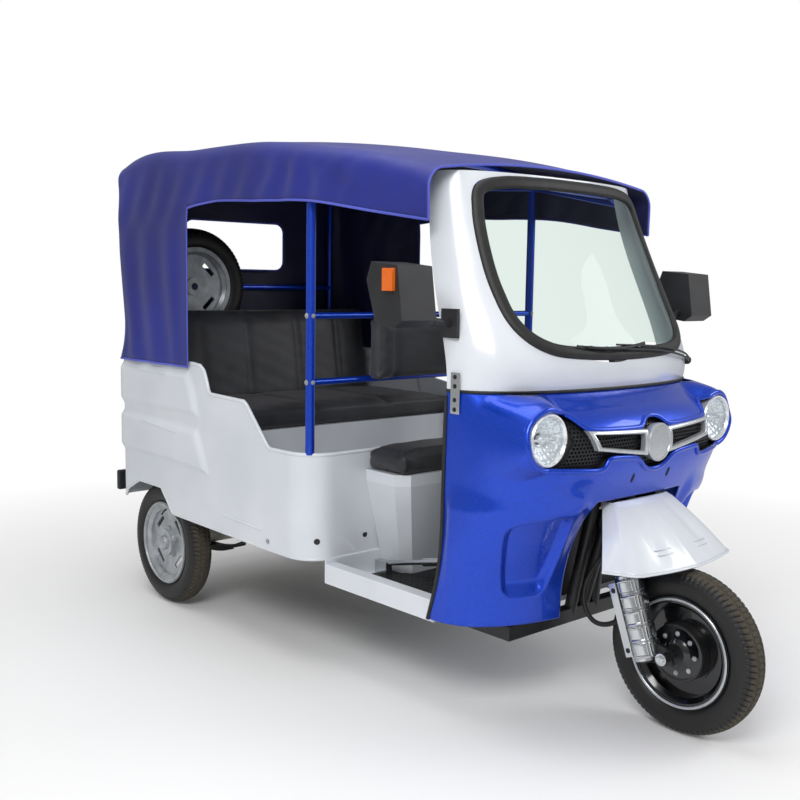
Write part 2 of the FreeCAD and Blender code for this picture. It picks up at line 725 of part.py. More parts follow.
def canopy_frame():
    """Painted tube frame: posts, bows, roof rails, and the rails behind the driver and at the rear."""
    rear_post_y = body_rear_y - panel_wall - roof_tube
    pieces = [hoop(post_y, low_wall_height + 0.5, post_radius - 3, post_x - 3)]
    pieces.append(hoop(rear_post_y, belt_height - 300, roof_tube, panel_inner_x - 52))
    mid_y = flap_rear_y + 20
    cab_roof_rear_y = front_axle_y + frame_sections[-1][2]
    rail_top = [(cab_roof_rear_y + roof_tube + soft_gap, frame_top - 3 - 40)]
    rail_top += [(y, roof_station(y)[0] - 34 - 30 - 2 * cloth - 26) for y in
                 (partition_y - 31, post_y + 2, mid_y, rear_post_y)]
    for side in (-1, 1):
        rail = [(side * (min(panel_inner_x - 40, roof_station(y)[1] - 46)), y, z) for y, z in rail_top]
        pieces.append(tube_frame(rail, roof_tube))
    for y, z in (rail_top[0], rail_top[3]):
        half = min(panel_inner_x - 40, roof_station(y)[1] - 46)
        bow = [(-half, y, z), (-half + 60, y, z + 26), (0, y, z + 40), (half - 60, y, z + 26), (half, y, z)]
        pieces.append(tube_frame(bow, roof_tube))
    rail_low, rail_high = low_wall_height + 248, low_wall_height + 472
    for z in (rail_low, rail_high):
        pieces.append(rod((-post_x, post_y, z), (post_x, post_y, z), 11))
    pieces.append(rod((-panel_inner_x + 40, rear_post_y, spare_z), (panel_inner_x - 40, rear_post_y, spare_z),
                      roof_tube))
    hub_rear_y = spare_y + spare_hub_half + soft_gap
    pieces.append(rod((spare_x, hub_rear_y, spare_z), (spare_x, rear_post_y, spare_z), 30))
    for x in (-200, 200):
        pieces.append(box(x - 18, x + 18, post_y - 12, post_y - 2, rail_low, rail_high))
    return fuse(pieces)


# ---- wheels ----
def tyre_shape(width, radius):
    """Tyre about the X axis at the origin: rounded shoulders, open at the bead."""
    w = width / 2
    bead = rim_radius - rim_flange
    half = [(w - 18, bead), (w - 14, rim_radius + 7), (w, rim_radius + 27), (w - 3, radius - 34),
            (w - 16, radius - 9), (w - 34, radius - 1)]
    outline = [(-x, r) for x, r in half] + [(0, radius)] + list(reversed(half))
    wire = Part.makePolygon([Vec(x, 0, r) for x, r in outline + outline[:1]])
    return Part.Face(wire).revolve(Vec(0, 0, 0), Vec(1, 0, 0), 360)


def rim_shape(width, disc_x, bore, hub_radius, hub_half, slots):
    """Pressed steel rim: barrel, flanges, dished disc with slots and a hub boss."""
    w = width / 2 - 16
    bead = rim_radius - rim_flange - soft_gap
    barrel = [(-w - 4, bead), (-w - 4, bead - 5), (-w + 8, bead - 20), (w - 8, bead - 20), (w + 4, bead - 5),
              (w + 4, bead), (w - 4, bead), (w - 14, bead - 12), (-w + 14, bead - 12), (-w + 4, bead)]
    flange = [(w + 4, bead - 6), (w + 8, bead - 6), (w + 8, rim_radius + 4), (w + 4, rim_radius)]
    other = [(-x, r) for x, r in flange]
    disc = [(disc_x - 3, bore), (disc_x - 3, bead - 18), (disc_x + 3, bead - 18), (disc_x + 3, bore)]
    boss = [(-hub_half, bore), (-hub_half, hub_radius), (hub_half, hub_radius), (hub_half, bore)]
    pieces = []
    for outline in (barrel, flange, other, disc, boss):
        wire = Part.makePolygon([Vec(x, 0, r) for x, r in outline + outline[:1]])
        pieces.append(Part.Face(wire).revolve(Vec(0, 0, 0), Vec(1, 0, 0), 360))
    rim = fuse(pieces)
    for i in range(slots):
        angle = 360 / slots * (i + 0.5)
        slot = box(disc_x - 10, disc_x + 10, -34, 34, 92, 112)
        slot.rotate(Vec(0, 0, 0), Vec(1, 0, 0), angle)
        rim = rim.cut(slot)
    return rim


front_stub = 10.0
rear_stub = 16.0
rear_hub_half = 40.0
front_hub_half = 56.0


def at_front(shape):
    return shape.translated(Vec(0, front_axle_y, axle_z))


def rear_wheel(side):
    """Tyre and rim of one rear wheel."""
    place = Vec(side * wheel_x, rear_axle_y, axle_z)
    tyre = tyre_shape(tyre_width, wheel_radius).translated(place)
    rim = rim_shape(tyre_width, 14, rear_stub + 0.1, 55, rear_hub_half, 4)
    if side < 0:
        rim = mirror_x(rim)
    return tyre, rim.translated(place)


def front_hub():
    """Brake drum hub on the fixed axle."""
    drum = rod((-front_hub_half + 12, 0, 0), (front_hub_half - 12, 0, 0), 88)
    nose = rod((-front_hub_half, 0, 0), (front_hub_half, 0, 0), 30)
    bore = rod((-100, 0, 0), (100, 0, 0), front_stub + 0.1)
    return at_front(fuse([drum, nose]).cut(bore))


def front_rim():
    """Rim joined to the hub's drum by its disc."""
    rim = rim_shape(tyre_width, 0, 88 + soft_gap, 96, 12, 0)
    return at_front(rim)


# ---- front fork ----
yoke_z = 610.0
leg_radius = 21.0
leg_foot_z = axle_z - 30
fender_low = cowl_bottom + 197.0
fender_top = cowl_bottom + 372.0
fender_wall = 4.0
fender_crease_y = front_axle_y + 178.0


def above_slant(z):
    """Space over the fender's top plate, which falls backwards from a crease at this height."""
    y = fender_crease_y
    return prism_x([(y - 40, z + 20), (y + 120, z - 60), (y + 120, z + 50), (y - 40, z + 50)], -400, 400)


def front_fork():
    """Two legs, axle brackets, lower yoke and the stem through the head tube."""
    pieces = []
    for side in (-1, 1):
        x = side * fork_half_spread
        pieces.append(rod((x, axis_y(leg_foot_z), leg_foot_z), (x, axis_y(yoke_z), yoke_z), leg_radius))
        y = front_axle_y
        bracket = prism_x([(y - 24, axle_z - 18), (y - 10, axle_z + 22), (y + 60, axle_z + 40),
                           (axis_y(axle_z) + 10, axle_z - 30), (y, axle_z - 26)], min(x, x - side * 12),
                          max(x, x - side * 12))
        pieces.append(bracket)
        pieces.append(rod((x - side * 12, y, axle_z), (x + side * 26, y, axle_z), 14))
    axle_ends = [(x, front_axle_y, axle_z) for x in (-fork_half_spread, fork_half_spread)]
    axle = rod(*axle_ends, front_stub)
    yoke = rod((0, axis_y(yoke_z), yoke_z), (0, axis_y(yoke_z + 28), yoke_z + 28), 34)
    bridge = box(-fork_half_spread - 28, fork_half_spread + 28, axis_y(yoke_z) - 32, axis_y(yoke_z) + 36,
                 yoke_z - 14, yoke_z + 16)
    stem = rod((0, axis_y(yoke_z), yoke_z), (0, axis_y(bar_z), bar_z), stem_radius)
    posts = []
    for x in (-60, 60):
        y = fender_crease_y + 12
        posts.append(rod((x, y, yoke_z), (x, y, fender_top), 8))
    posts = fuse(posts).cut(above_slant(fender_top - fender_wall - soft_gap))
    return fuse(pieces + [axle, yoke, bridge, stem, posts])


bar_z = cowl_top + 20.0
bar_radius = 11.0
grip_length = 125.0
bar_half = 330.0


def bar_points():
    y = axis_y(bar_z) - 4
    z = bar_z + 18
    half = [(70, y + 6, z + 6), (190, y + 70, z + 26), (bar_half - grip_length - 20, y + 92, z + 28),
            (bar_half, y + 128, z + 20)]
    return [(-a, b, c) for a, b, c in reversed(half)] + half


def handlebar():
    """Bent bar clamped on the stem's top."""
    y = axis_y(bar_z)
    clamp = box(-34, 34, y - 24, y + 26, bar_z + soft_gap, bar_z + 40)
    bar = fuse([tube_frame(bar_points(), bar_radius), clamp])
    stem_room = rod((0, axis_y(bar_z - 50), bar_z - 50), (0, y, bar_z), stem_radius + soft_gap)
    return bar.cut(stem_room)


def handlebar_grips():
    """Rubber sleeve on each end of the bar."""
    points = bar_points()
    end = Vec(*points[-1])
    start = Vec(*points[-2])
    along = (end - start).normalize()
    base = end - along * grip_length
    sleeve = Part.makeCylinder(17, grip_length + 6, base, along)
    hole = Part.makeCylinder(bar_radius + 0.1, grip_length + 0.5, base - along * 0.5, along)
    return both_sides(sleeve.cut(hole))


def fork_covers():
    """Slotted bright cover round the outer side of each leg, clamped to it at two heights."""
    z0 = axle_z - 22
    z1 = axle_z + 216
    x = fork_half_spread
    start = (x, axis_y(z0), z0)
    end = (x, axis_y(z1), z1)
    shell = rod(start, end, 40).cut(rod((x, axis_y(z0 - 20), z0 - 20), (x, axis_y(z1 + 20), z1 + 20), 37))
    for i in range(5):
        z = z0 + 42 + i * 38
        shell = shell.cut(box(x, x + 60, axis_y(z) - 45, axis_y(z) - 12, z, z + 16))
    shell = shell.common(prism_x([(front_axle_y - 100, 0), (front_axle_y + 500, 0),
                                  (front_axle_y + 500, 1000), (front_axle_y - 100, 1000)], x + 4, x + 60))
    collars = []
    for z in (axle_z + 60, z1 - 24):
        disc = rod((x, axis_y(z), z), (x, axis_y(z + 8), z + 8), 38)
        disc = disc.cut(rod((x, axis_y(z - 20), z - 20), (x, axis_y(z + 30), z + 30), leg_radius + soft_gap))
        collars.append(disc.common(box(x - 2, x + 60, front_axle_y - 100, front_axle_y + 500, 0, 1000)))
    return both_sides(fuse([shell] + collars))


def fender_plan(z, inset):
    """Plan outline of the fender at a height, open end at the back."""
    t = (z - fender_low) / (fender_top - fender_low)
    low = [(284, 105), (280, 98), (236, 12), (90, -22), (0, -30)]
    high = [(140, 222), (144, 208), (136, 176), (70, 166), (0, 163)]
    half = []
    for (xa, ya), (xb, yb) in zip(low, high):
        x = xa + (xb - xa) * t
        y = ya + (yb - ya) * t
        half.append((max(x - inset, 0), front_axle_y + y + inset))
    half[0] = (half[0][0], half[0][1] - inset)
    points = half + [(-x, y) for x, y in reversed(half[:-1])]
    return Part.makePolygon([Vec(x, y, z) for x, y in points + points[:1]])


def front_fender():
    """Wide wedge over the wheel, open below, its top plate falling back to the yoke."""
    solids = []
    for inset in (0, fender_wall):
        body = Part.makeLoft([fender_plan(fender_low, inset), fender_plan(fender_top, inset)], True, True)
        body.translate(Vec(0, 0, -inset))
        solids.append(body.cut(above_slant(fender_top - inset)))
    hole = rod((0, axis_y(fender_top - 80), fender_top - 80),
               (0, axis_y(fender_top + 40), fender_top + 40), 34 + soft_gap)
    return solids[0].cut(solids[1]).cut(hole)


hose_radius = 8.0
hose_route = [(-62, -928, 592), (-64, -921, 555), (-72, -890, 515), (-84, -852, 462), (-96, -826, 400),
              (-102, -828, 336), (-101, -862, 290), (-98, -912, 288), (-94, -960, 316), (-92, -1003, 352)]


def hose_path(route):
    """Straight runs joined by tangent arcs, each as large as its two runs allow."""
    points = [Vec(x, y - front_axle_y_drawn + front_axle_y, z) for x, y, z in route]
    edges = []
    start = points[0]
    length = 0.0
    for before, corner, after in zip(points, points[1:], points[2:]):
        into = corner - before
        out = after - corner
        turn = into.getAngle(out)
        reach = 0.45 * min(into.Length, out.Length)
        a = corner - into.normalize() * reach
        b = corner + out.normalize() * reach
        radius = reach / math.tan(turn / 2)
        bisector = ((a + b) * 0.5 - corner).normalize()
        mid = corner + bisector * (radius / math.cos(turn / 2) - radius)
        edges += [Part.makeLine(start, a), Part.Arc(a, mid, b).toShape()]
        print("hose radius", round(radius))
        start = b
    edges.append(Part.makeLine(start, points[-1]))
    return Part.Wire(edges)


def brake_hose():
    """Ribbed hose that hangs in a loop from the yoke to the right leg."""
    path = hose_path(hose_route)
    start = Vec(path.Vertexes[0].Point)
    along = Vec(path.Vertexes[1].Point) - start
    section = Part.Wire(Part.makeCircle(hose_radius, start, along))
    tube = path.makePipeShell([section], True, False)
    print("hose volume over section times length",
          round(tube.Volume / (math.pi * hose_radius ** 2 * path.Length), 4), "length", round(path.Length))
    return tube


# ---- running gear ----
spare_x = -300.0
spare_hub_half = 24.0
spare_z = axle_z + 1052.0
spare_y = body_rear_y - 115.0


bowl_radius = 88.0


def rear_axle():
    """Housing tube with a bowl in the middle, a flange and a stub for each wheel."""
    inner = wheel_x - rear_hub_half - 8
    stub_end = wheel_x + rear_hub_half + 6
    half = [(20, bowl_radius), (62, bowl_radius - 14), (92, 32), (inner - 14, 32), (inner - 14, 62),
            (inner, 62), (inner, rear_stub), (stub_end, rear_stub), (stub_end, 0)]
    outline = half + [(-x, r) for x, r in reversed(half)]
    wire = Part.makePolygon([Vec(x, 0, r) for x, r in outline + outline[:1]])
    axle = Part.Face(wire).revolve(Vec(0, 0, 0), Vec(1, 0, 0), 360)
    return axle.translated(Vec(0, rear_axle_y, axle_z))


def drive_motor():
    """Motor in line ahead of the axle, bolted to its middle."""
    y = rear_axle_y
    body = rod((-10, y - 240, axle_z), (230, y - 240, axle_z), 80)
    neck = box(-40, 60, y - 200, y - bowl_radius - soft_gap, axle_z - 40, axle_z + 40)
    return fuse([body, neck])


def leaf_springs():
    """Leaf pack under each rail, clamped below the axle."""
    packs = []
    for side in (-1, 1):
        x = side * rail_x
        leaves = []
        reach = 330.0
        end_z = floor_height - rail_height - 34
        low_z = axle_z - 32 - soft_gap
        for i in range(3):
            span = reach - i * 90
            a = [(rear_axle_y + s * span / 8, low_z + (end_z - low_z) * (s * span / 8 / reach) ** 2 - i * 7)
                 for s in range(-8, 9)]
            b = [(y, z - 7.2) for y, z in reversed(a)]
            leaves.append(prism_x(a + b, x - 25, x + 25))
        for s in (-1, 1):
            eye_y = rear_axle_y + s * reach
            leaves.append(rod((x - 25, eye_y, end_z - 4), (x + 25, eye_y, end_z - 4), 14))
            leaves.append(box(x - 20, x + 20, eye_y - 16, eye_y + 16, end_z - 4, floor_height - rail_height))
        packs.append(fuse(leaves))
    return packs


def battery_box():
    """Battery pack on the floor under the passenger seat."""
    return box(-330, 330, seat_front_y + 60, seat_front_y + 420, floor_height + 12, seat_board_z - 60)


def rear_bumper():
    """Full width bar behind the body on two stays."""
    bar = box(-body_half_width + 20, body_half_width - 20, bumper_y - 26, bumper_y, floor_height + 14,
              floor_height + 100)
    bar = bar.makeFillet(8, bar.Edges)
    stays = [box(s * rail_x - 18, s * rail_x + 18, bumper_y - 30, bumper_y - 20, floor_height - rail_height,
                 floor_height + 90) for s in (-1, 1)]
    return fuse([bar] + stays)


def tail_lights():
    """Lamp block on each rear corner."""
    x = body_half_width - corner_radius
    z = belt_height
    return both_sides(box(x - 90, x, body_rear_y + soft_gap, body_rear_y + 30, z - 230, z - 70))


def handbrake_lever():
    """Lever lying forward from the partition's foot, on a small bracket."""
    x = -300
    y = partition_y - 30
    z = tray_height + tray_wall
    bracket = box(x - 14, x + 14, y - 60, y, z, z + 50)
    lever = tube_frame([(x, y - 30, z + 40), (x, y - 160, z + 70), (x, y - 330, z + 110)], 9)
    grip = rod((x, y - 240, z + 89), (x, y - 350, z + 115), 15)
    return fuse([bracket, lever, grip])


def brake_pedal():
    """Foot pedal on the floor ahead of the driver's right foot."""
    x = -150
    y = bulkhead_y + 90
    z = tray_height + tray_wall
    arm = rod((x, y, z + 8), (x, y + 60, z + 110), 8)
    pad = box(x - 35, x + 35, y + 52, y + 66, z + 80, z + 130)
    base = box(x - 20, x + 20, y - 20, y + 20, z, z + 14)
    return fuse([arm, pad, base])


def spare_wheel():
    """Spare standing behind the backrest, hung on the rear rail."""
    tyre = tyre_shape(tyre_width - 4, wheel_radius)
    rim = rim_shape(tyre_width - 4, 14, rear_stub, 40, spare_hub_half, 4)
    placed = []
    for shape in (tyre, rim):
        shape = shape.copy()
        shape.rotate(Vec(0, 0, 0), Vec(0, 0, 1), -90)
        placed.append(shape.translated(Vec(spare_x, spare_y, spare_z)))
    return placed


export("chassis_frame", chassis_frame())
export("front_fascia", front_fascia())
export("grille_panel", grille_panel())
export("grille_trim", grille_trim())
export("headlights", headlights())
export("headlight_lenses", headlight_lenses())
export("windscreen_frame", windscreen_frame())
export("windscreen_seal", windscreen_seal())
export("windscreen_glass", windscreen_glass())
export("wiper", wiper())
export("mirror_housings", both_sides(mirror_side()))
export("mirror_glasses", both_sides(mirror_glass()))
export("mirror_indicators", both_sides(mirror_indicator()))
export("dashboard", dashboard())
export("front_bulkhead", front_bulkhead())
export("driver_floor_tray", driver_floor_tray())
export("front_partition", front_partition())
export("side_panel_right", mirror_x(side_panel(False)))
export("side_panel_left", side_panel(True))
export("rear_panel", rear_panel())
export("passenger_floor", passenger_floor())
export("seat_base", seat_base())
export("passenger_cushion", passenger_cushion())
export("passenger_backrest", passenger_backrest())
export("driver_seat_base", driver_seat_base())
export("driver_cushion", driver_cushion())
export("driver_backrest", driver_backrest())
export("canopy_frame", canopy_frame())
export("canopy", canopy())
export("rear_bumper", rear_bumper())
export("tail_lights", tail_lights())
export("rear_axle", rear_axle())
export("drive_motor", drive_motor())
export("leaf_springs", leaf_springs())
export("battery_box", battery_box())
export("handbrake_lever", handbrake_lever())
export("brake_pedal", brake_pedal())
export("front_fork", front_fork())
export("fork_covers", fork_covers())
export("handlebar", handlebar())
export("handlebar_grips", handlebar_grips())
export("front_fender", front_fender())
export("brake_hose", brake_hose())
export("front_tyre", at_front(tyre_shape(tyre_width, wheel_radius)))
export("front_rim", front_rim())
export("front_hub", front_hub())
for word, sign in (("right", -1), ("left", 1)):
    wheel_tyre, wheel_rim = rear_wheel(sign)
    export("rear_tyre_" + word, wheel_tyre)
    export("rear_rim_" + word, wheel_rim)
spare_tyre, spare_rim = spare_wheel()
export("spare_tyre", spare_tyre)
export("spare_rim", spare_rim)
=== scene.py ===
import json
import math

import bmesh
import bpy
import numpy as np
from mathutils import Matrix, Vector


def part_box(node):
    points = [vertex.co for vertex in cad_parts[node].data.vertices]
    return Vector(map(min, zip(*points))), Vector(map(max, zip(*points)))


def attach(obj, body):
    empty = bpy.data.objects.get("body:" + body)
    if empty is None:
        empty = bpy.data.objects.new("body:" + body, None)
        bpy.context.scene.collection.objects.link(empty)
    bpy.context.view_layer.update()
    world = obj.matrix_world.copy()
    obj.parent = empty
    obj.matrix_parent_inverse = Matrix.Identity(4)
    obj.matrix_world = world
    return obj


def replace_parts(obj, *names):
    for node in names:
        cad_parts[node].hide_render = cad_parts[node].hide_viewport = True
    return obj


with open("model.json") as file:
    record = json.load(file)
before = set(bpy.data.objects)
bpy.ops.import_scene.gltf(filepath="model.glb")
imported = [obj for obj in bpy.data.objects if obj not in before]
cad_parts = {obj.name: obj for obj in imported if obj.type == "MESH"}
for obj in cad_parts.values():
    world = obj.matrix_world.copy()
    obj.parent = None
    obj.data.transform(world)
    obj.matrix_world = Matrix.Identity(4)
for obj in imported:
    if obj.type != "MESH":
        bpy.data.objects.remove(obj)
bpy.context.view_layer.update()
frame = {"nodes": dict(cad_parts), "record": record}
record = frame["record"]
cadNodes = frame["nodes"]
joints = {j["name"]: j for j in record["behaviour"]["joints"]}


# small helpers
# sRGB hex to the linear colour that the shaders take
def toLinear(hexText):
    parts = [int(hexText[i:i + 2], 16) / 255 for i in (1, 3, 5)]
    return [c / 12.92 if c <= 0.04045 else ((c + 0.055) / 1.055) ** 2.4 for c in parts] + [1.0]


# One shader node with its settings; an input is a value or another node's socket
def addNode(tree, kind, inputs=None, **settings):
    item = tree.nodes.new(kind)
    for name, value in settings.items():
        setattr(item, name, value)
    for key, value in (inputs or {}).items():
        socket = item.inputs[key]
        if isinstance(value, bpy.types.NodeSocket):
            tree.links.new(value, socket)
        else:
            socket.default_value = value
    return item


# Principled material with its constant values on the shader itself
def newMaterial(name, colour, roughness, **sockets):
    mat = bpy.data.materials.new(name)
    mat.use_nodes = True
    shader = mat.node_tree.nodes["Principled BSDF"]
    shader.inputs["Base Color"].default_value = toLinear(colour)
    shader.inputs["Roughness"].default_value = roughness
    for key, value in sockets.items():
        shader.inputs[key.replace("_", " ")].default_value = value
    mat.diffuse_color = toLinear(colour)
    return mat, mat.node_tree, shader


def objectPoint(tree):
    return addNode(tree, "ShaderNodeTexCoord").outputs["Object"]


def addBump(tree, shader, height, strength, distance):
    bump = addNode(tree, "ShaderNodeBump", {"Height": height, "Strength": strength, "Distance": distance})
    tree.links.new(bump.outputs["Normal"], shader.inputs["Normal"])


def noise(tree, scale, detail=3.0, vector=None):
    item = addNode(tree, "ShaderNodeTexNoise",
                   {"Vector": vector or objectPoint(tree), "Scale": scale, "Detail": detail})
    return item.outputs["Fac"]


# Colour ramp between two hex colours
def ramp(tree, factor, low, high, positions=(0.35, 0.65)):
    item = addNode(tree, "ShaderNodeValToRGB", {"Fac": factor})
    for stop, place, colour in zip(item.color_ramp.elements, positions, (low, high)):
        stop.position = place
        stop.color = toLinear(colour)
    return item.outputs["Color"]


# Number between two values, from a factor
def levels(tree, factor, low, high, positions=(0.35, 0.65)):
    item = addNode(tree, "ShaderNodeMapRange",
                   {"Value": factor, "From Min": positions[0], "From Max": positions[1],
                    "To Min": low, "To Max": high})
    return item.outputs["Result"]


def tint(tree, shader, colour):
    tree.links.new(colour, shader.inputs["Base Color"])


def gloss(tree, shader, amount):
    tree.links.new(amount, shader.inputs["Roughness"])


# materials, each named for its real finish
# Glass fibre moulding in white gel coat: glossy, with a faint long orange peel
def whiteGelcoat():
    mat, tree, shader = newMaterial("whiteGelcoat", "#dde2e8", 0.2, Coat_Weight=0.3, Coat_Roughness=0.06)
    tint(tree, shader, ramp(tree, noise(tree, 3.0, 2.0), "#d6dbe2", "#e0e4ea"))
    addBump(tree, shader, noise(tree, 140.0, 2.0), 0.05, 0.001)
    return mat


# Blue metallic lacquer under a clear coat: fine flake sparkle, darker where it turns away, deep gloss
def metallicBlue():
    mat, tree, shader = newMaterial("metallicBlue", "#0340c0", 0.3, Metallic=0.6, Coat_Weight=0.5,
                                    Coat_Roughness=0.03)
    flake = addNode(tree, "ShaderNodeTexVoronoi", {"Vector": objectPoint(tree), "Scale": 900.0})
    tint(tree, shader, ramp(tree, flake.outputs["Color"], "#022ea6", "#044fe0", (0.2, 0.8)))
    gloss(tree, shader, levels(tree, flake.outputs["Distance"], 0.24, 0.4))
    return mat


# Black stove enamel on steel: semi-gloss with a dusty variation
def satinBlackPaint():
    mat, tree, shader = newMaterial("satinBlackPaint", "#1b1c1e", 0.42)
    dust = noise(tree, 12.0, 4.0)
    tint(tree, shader, ramp(tree, dust, "#151618", "#212224"))
    gloss(tree, shader, levels(tree, dust, 0.34, 0.5))
    addBump(tree, shader, noise(tree, 500.0), 0.05, 0.0005)
    return mat


# Black gloss enamel on the front rim: sharp highlights
def glossBlackPaint():
    mat, tree, shader = newMaterial("glossBlackPaint", "#0d0e10", 0.14, Coat_Weight=0.6, Coat_Roughness=0.05)
    gloss(tree, shader, levels(tree, noise(tree, 30.0, 4.0), 0.1, 0.22))
    return mat


# Black moulded ABS with a fine spark texture
def mouldedPlastic():
    mat, tree, shader = newMaterial("mouldedPlastic", "#1d1e20", 0.5)
    tint(tree, shader, ramp(tree, noise(tree, 8.0), "#1b1c1e", "#26272a"))
    addBump(tree, shader, noise(tree, 900.0, 2.0), 0.25, 0.0004)
    return mat


# Extruded rubber: matt black with a slight bloom
def blackRubber():
    mat, tree, shader = newMaterial("blackRubber", "#161617", 0.55)
    tint(tree, shader, ramp(tree, noise(tree, 30.0), "#131314", "#1e1e1f"))
    addBump(tree, shader, noise(tree, 1200.0), 0.1, 0.0003)
    return mat


# Tyre compound: black sides, lug tops dusted brown by the road
def tyreRubber():
    mat, tree, shader = newMaterial("tyreRubber", "#1c1b1a", 0.7)
    dust = addNode(tree, "ShaderNodeAttribute", attribute_name="lugTop").outputs["Fac"]
    grime = noise(tree, 60.0, 5.0)
    worn = addNode(tree, "ShaderNodeMath", {0: dust, 1: levels(tree, grime, 0.75, 1.0)}, operation="MULTIPLY")
    tint(tree, shader, ramp(tree, worn.outputs[0], "#141414", "#4a443a", (0.0, 1.0)))
    gloss(tree, shader, levels(tree, dust, 0.5, 0.85, (0.0, 1.0)))
    addBump(tree, shader, noise(tree, 400.0), 0.2, 0.0006)
    return mat


# Silver-grey wheel paint on pressed steel: fine metallic grain
def silverPaint():
    mat, tree, shader = newMaterial("silverPaint", "#a9adb1", 0.38, Metallic=0.5)
    tint(tree, shader, ramp(tree, noise(tree, 25.0, 5.0), "#9ea2a6", "#b9bdc0"))
    gloss(tree, shader, levels(tree, noise(tree, 700.0), 0.28, 0.42))
    return mat


# Silver-sprayed ABS trim: even satin metal look
def satinSilverTrim():
    mat, tree, shader = newMaterial("satinSilverTrim", "#c4c8cc", 0.3, Metallic=0.6)
    gloss(tree, shader, levels(tree, noise(tree, 600.0), 0.22, 0.36))
    return mat


# Polished stainless sheet: bright, with fine scratches along it
def polishedSteel():
    mat, tree, shader = newMaterial("polishedSteel", "#c9ccce", 0.16, Metallic=1.0)
    point = addNode(tree, "ShaderNodeMapping", {"Vector": objectPoint(tree), "Scale": (900.0, 900.0, 20.0)})
    scratch = noise(tree, 1.0, 3.0, point.outputs["Vector"])
    gloss(tree, shader, levels(tree, scratch, 0.1, 0.24))
    addBump(tree, shader, scratch, 0.04, 0.0003)
    return mat


# Charcoal vinyl leather: pebbled grain about 2 mm across, softly glossy on the high points
def charcoalLeatherette():
    mat, tree, shader = newMaterial("charcoalLeatherette", "#2a2b30", 0.45, Sheen_Weight=0.1)
    cell = addNode(tree, "ShaderNodeTexVoronoi", {"Vector": objectPoint(tree), "Scale": 450.0})
    tint(tree, shader, ramp(tree, noise(tree, 7.0, 4.0), "#222328", "#33343a"))
    gloss(tree, shader, levels(tree, cell.outputs["Distance"], 0.34, 0.52, (0.0, 0.6)))
    addBump(tree, shader, cell.outputs["Distance"], 0.35, 0.0008)
    return mat


# PVC-coated polyester cloth with a 3 mm basket weave, drawn as coarse as shows
def coatedCanvas(name, low, high):
    mat, tree, shader = newMaterial(name, high, 0.55, Sheen_Weight=0.08)
    point = objectPoint(tree)
    tint(tree, shader, ramp(tree, noise(tree, 2.2, 4.0), low, high))
    gloss(tree, shader, levels(tree, noise(tree, 9.0, 3.0), 0.5, 0.58))
    waves = [addNode(tree, "ShaderNodeTexWave", {"Vector": point, "Scale": 100.0}, bands_direction=d)
             for d in ("Z", "Y")]
    weave = addNode(tree, "ShaderNodeMath", {0: waves[0].outputs["Fac"], 1: waves[1].outputs["Fac"]},
                    operation="ADD")
    addBump(tree, shader, weave.outputs["Value"], 0.12, 0.0006)
    return mat


# Clear pane: light goes straight through, and the outer face mirrors more at a glancing angle
def clearPane(name, colour):
    mat, tree = newMaterial(name, colour, 0.02)[:2]
    pane = addNode(tree, "ShaderNodeBsdfTransparent", {"Color": toLinear(colour)})
    shine = addNode(tree, "ShaderNodeBsdfGlossy", {"Color": toLinear("#8f9296"), "Roughness": 0.02})
    edge = addNode(tree, "ShaderNodeFresnel", {"IOR": 1.35}).outputs["Fac"]
    back = addNode(tree, "ShaderNodeNewGeometry").outputs["Backfacing"]
    front = addNode(tree, "ShaderNodeMath", {0: 1.0, 1: back}, operation="SUBTRACT").outputs[0]
    share = addNode(tree, "ShaderNodeMath", {0: edge, 1: front}, operation="MULTIPLY").outputs[0]
    mix = addNode(tree, "ShaderNodeMixShader", {0: share, 1: pane.outputs[0], 2: shine.outputs[0]})
    tree.links.new(mix.outputs[0], tree.nodes["Material Output"].inputs["Surface"])
    return mat


# Silvered glass
def mirrorGlass():
    mat, tree, shader = newMaterial("mirrorGlass", "#dfe3e7", 0.03, Metallic=1.0)
    gloss(tree, shader, levels(tree, noise(tree, 14.0), 0.02, 0.05))
    return mat


# Aluminised reflector
def lampBowl():
    mat, tree, shader = newMaterial("lampBowl", "#f0f2f4", 0.25, Metallic=0.55)
    gloss(tree, shader, levels(tree, noise(tree, 60.0), 0.18, 0.32))
    return mat


# Ribbed tinted acrylic
def tintedLens(name, colour):
    mat, tree, shader = newMaterial(name, colour, 0.15, Transmission_Weight=0.15)
    ribs = addNode(tree, "ShaderNodeTexWave", {"Vector": objectPoint(tree), "Scale": 60.0},
                   bands_direction="Z")
    addBump(tree, shader, ribs.outputs["Fac"], 0.5, 0.0015)
    return mat


# Cream axle enamel, a little grimy
def creamPaint():
    mat, tree, shader = newMaterial("creamPaint", "#d8d6c4", 0.35)
    tint(tree, shader, ramp(tree, noise(tree, 18.0, 5.0), "#bdbaa6", "#dedccb"))
    return mat


slotMaterials = {
    "black_paint": satinBlackPaint(), "blue_paint": metallicBlue(), "black_plastic": mouldedPlastic(),
    "silver_plastic": satinSilverTrim(), "lamp_bowl": lampBowl(),
    "clear_lens": clearPane("clearLens", "#fbfdfe"), "glass": clearPane("screenGlass", "#f2f8f5"),
    "white_gelcoat": whiteGelcoat(), "black_rubber": blackRubber(),
    "mirror": mirrorGlass(), "amber_lens": tintedLens("amberLens", "#f0700f"),
    "red_lens": tintedLens("redLens", "#b01010"), "seat_leather": charcoalLeatherette(),
    "canopy_fabric": coatedCanvas("navyCanvas", "#141c70", "#1b2689"), "cream_paint": creamPaint(),
    "chrome": polishedSteel(), "tyre": tyreRubber(), "silver_paint": silverPaint(),
    "black_rim_paint": glossBlackPaint()}
weltCloth = coatedCanvas("weltCloth", "#3f4ab4", "#5560c8")
for sub in record["subparts"]:
    item = cadNodes[sub["node"]]
    item.data.materials.clear()
    item.data.materials.append(slotMaterials[sub["material_slot"]])
print("materials on CAD nodes")


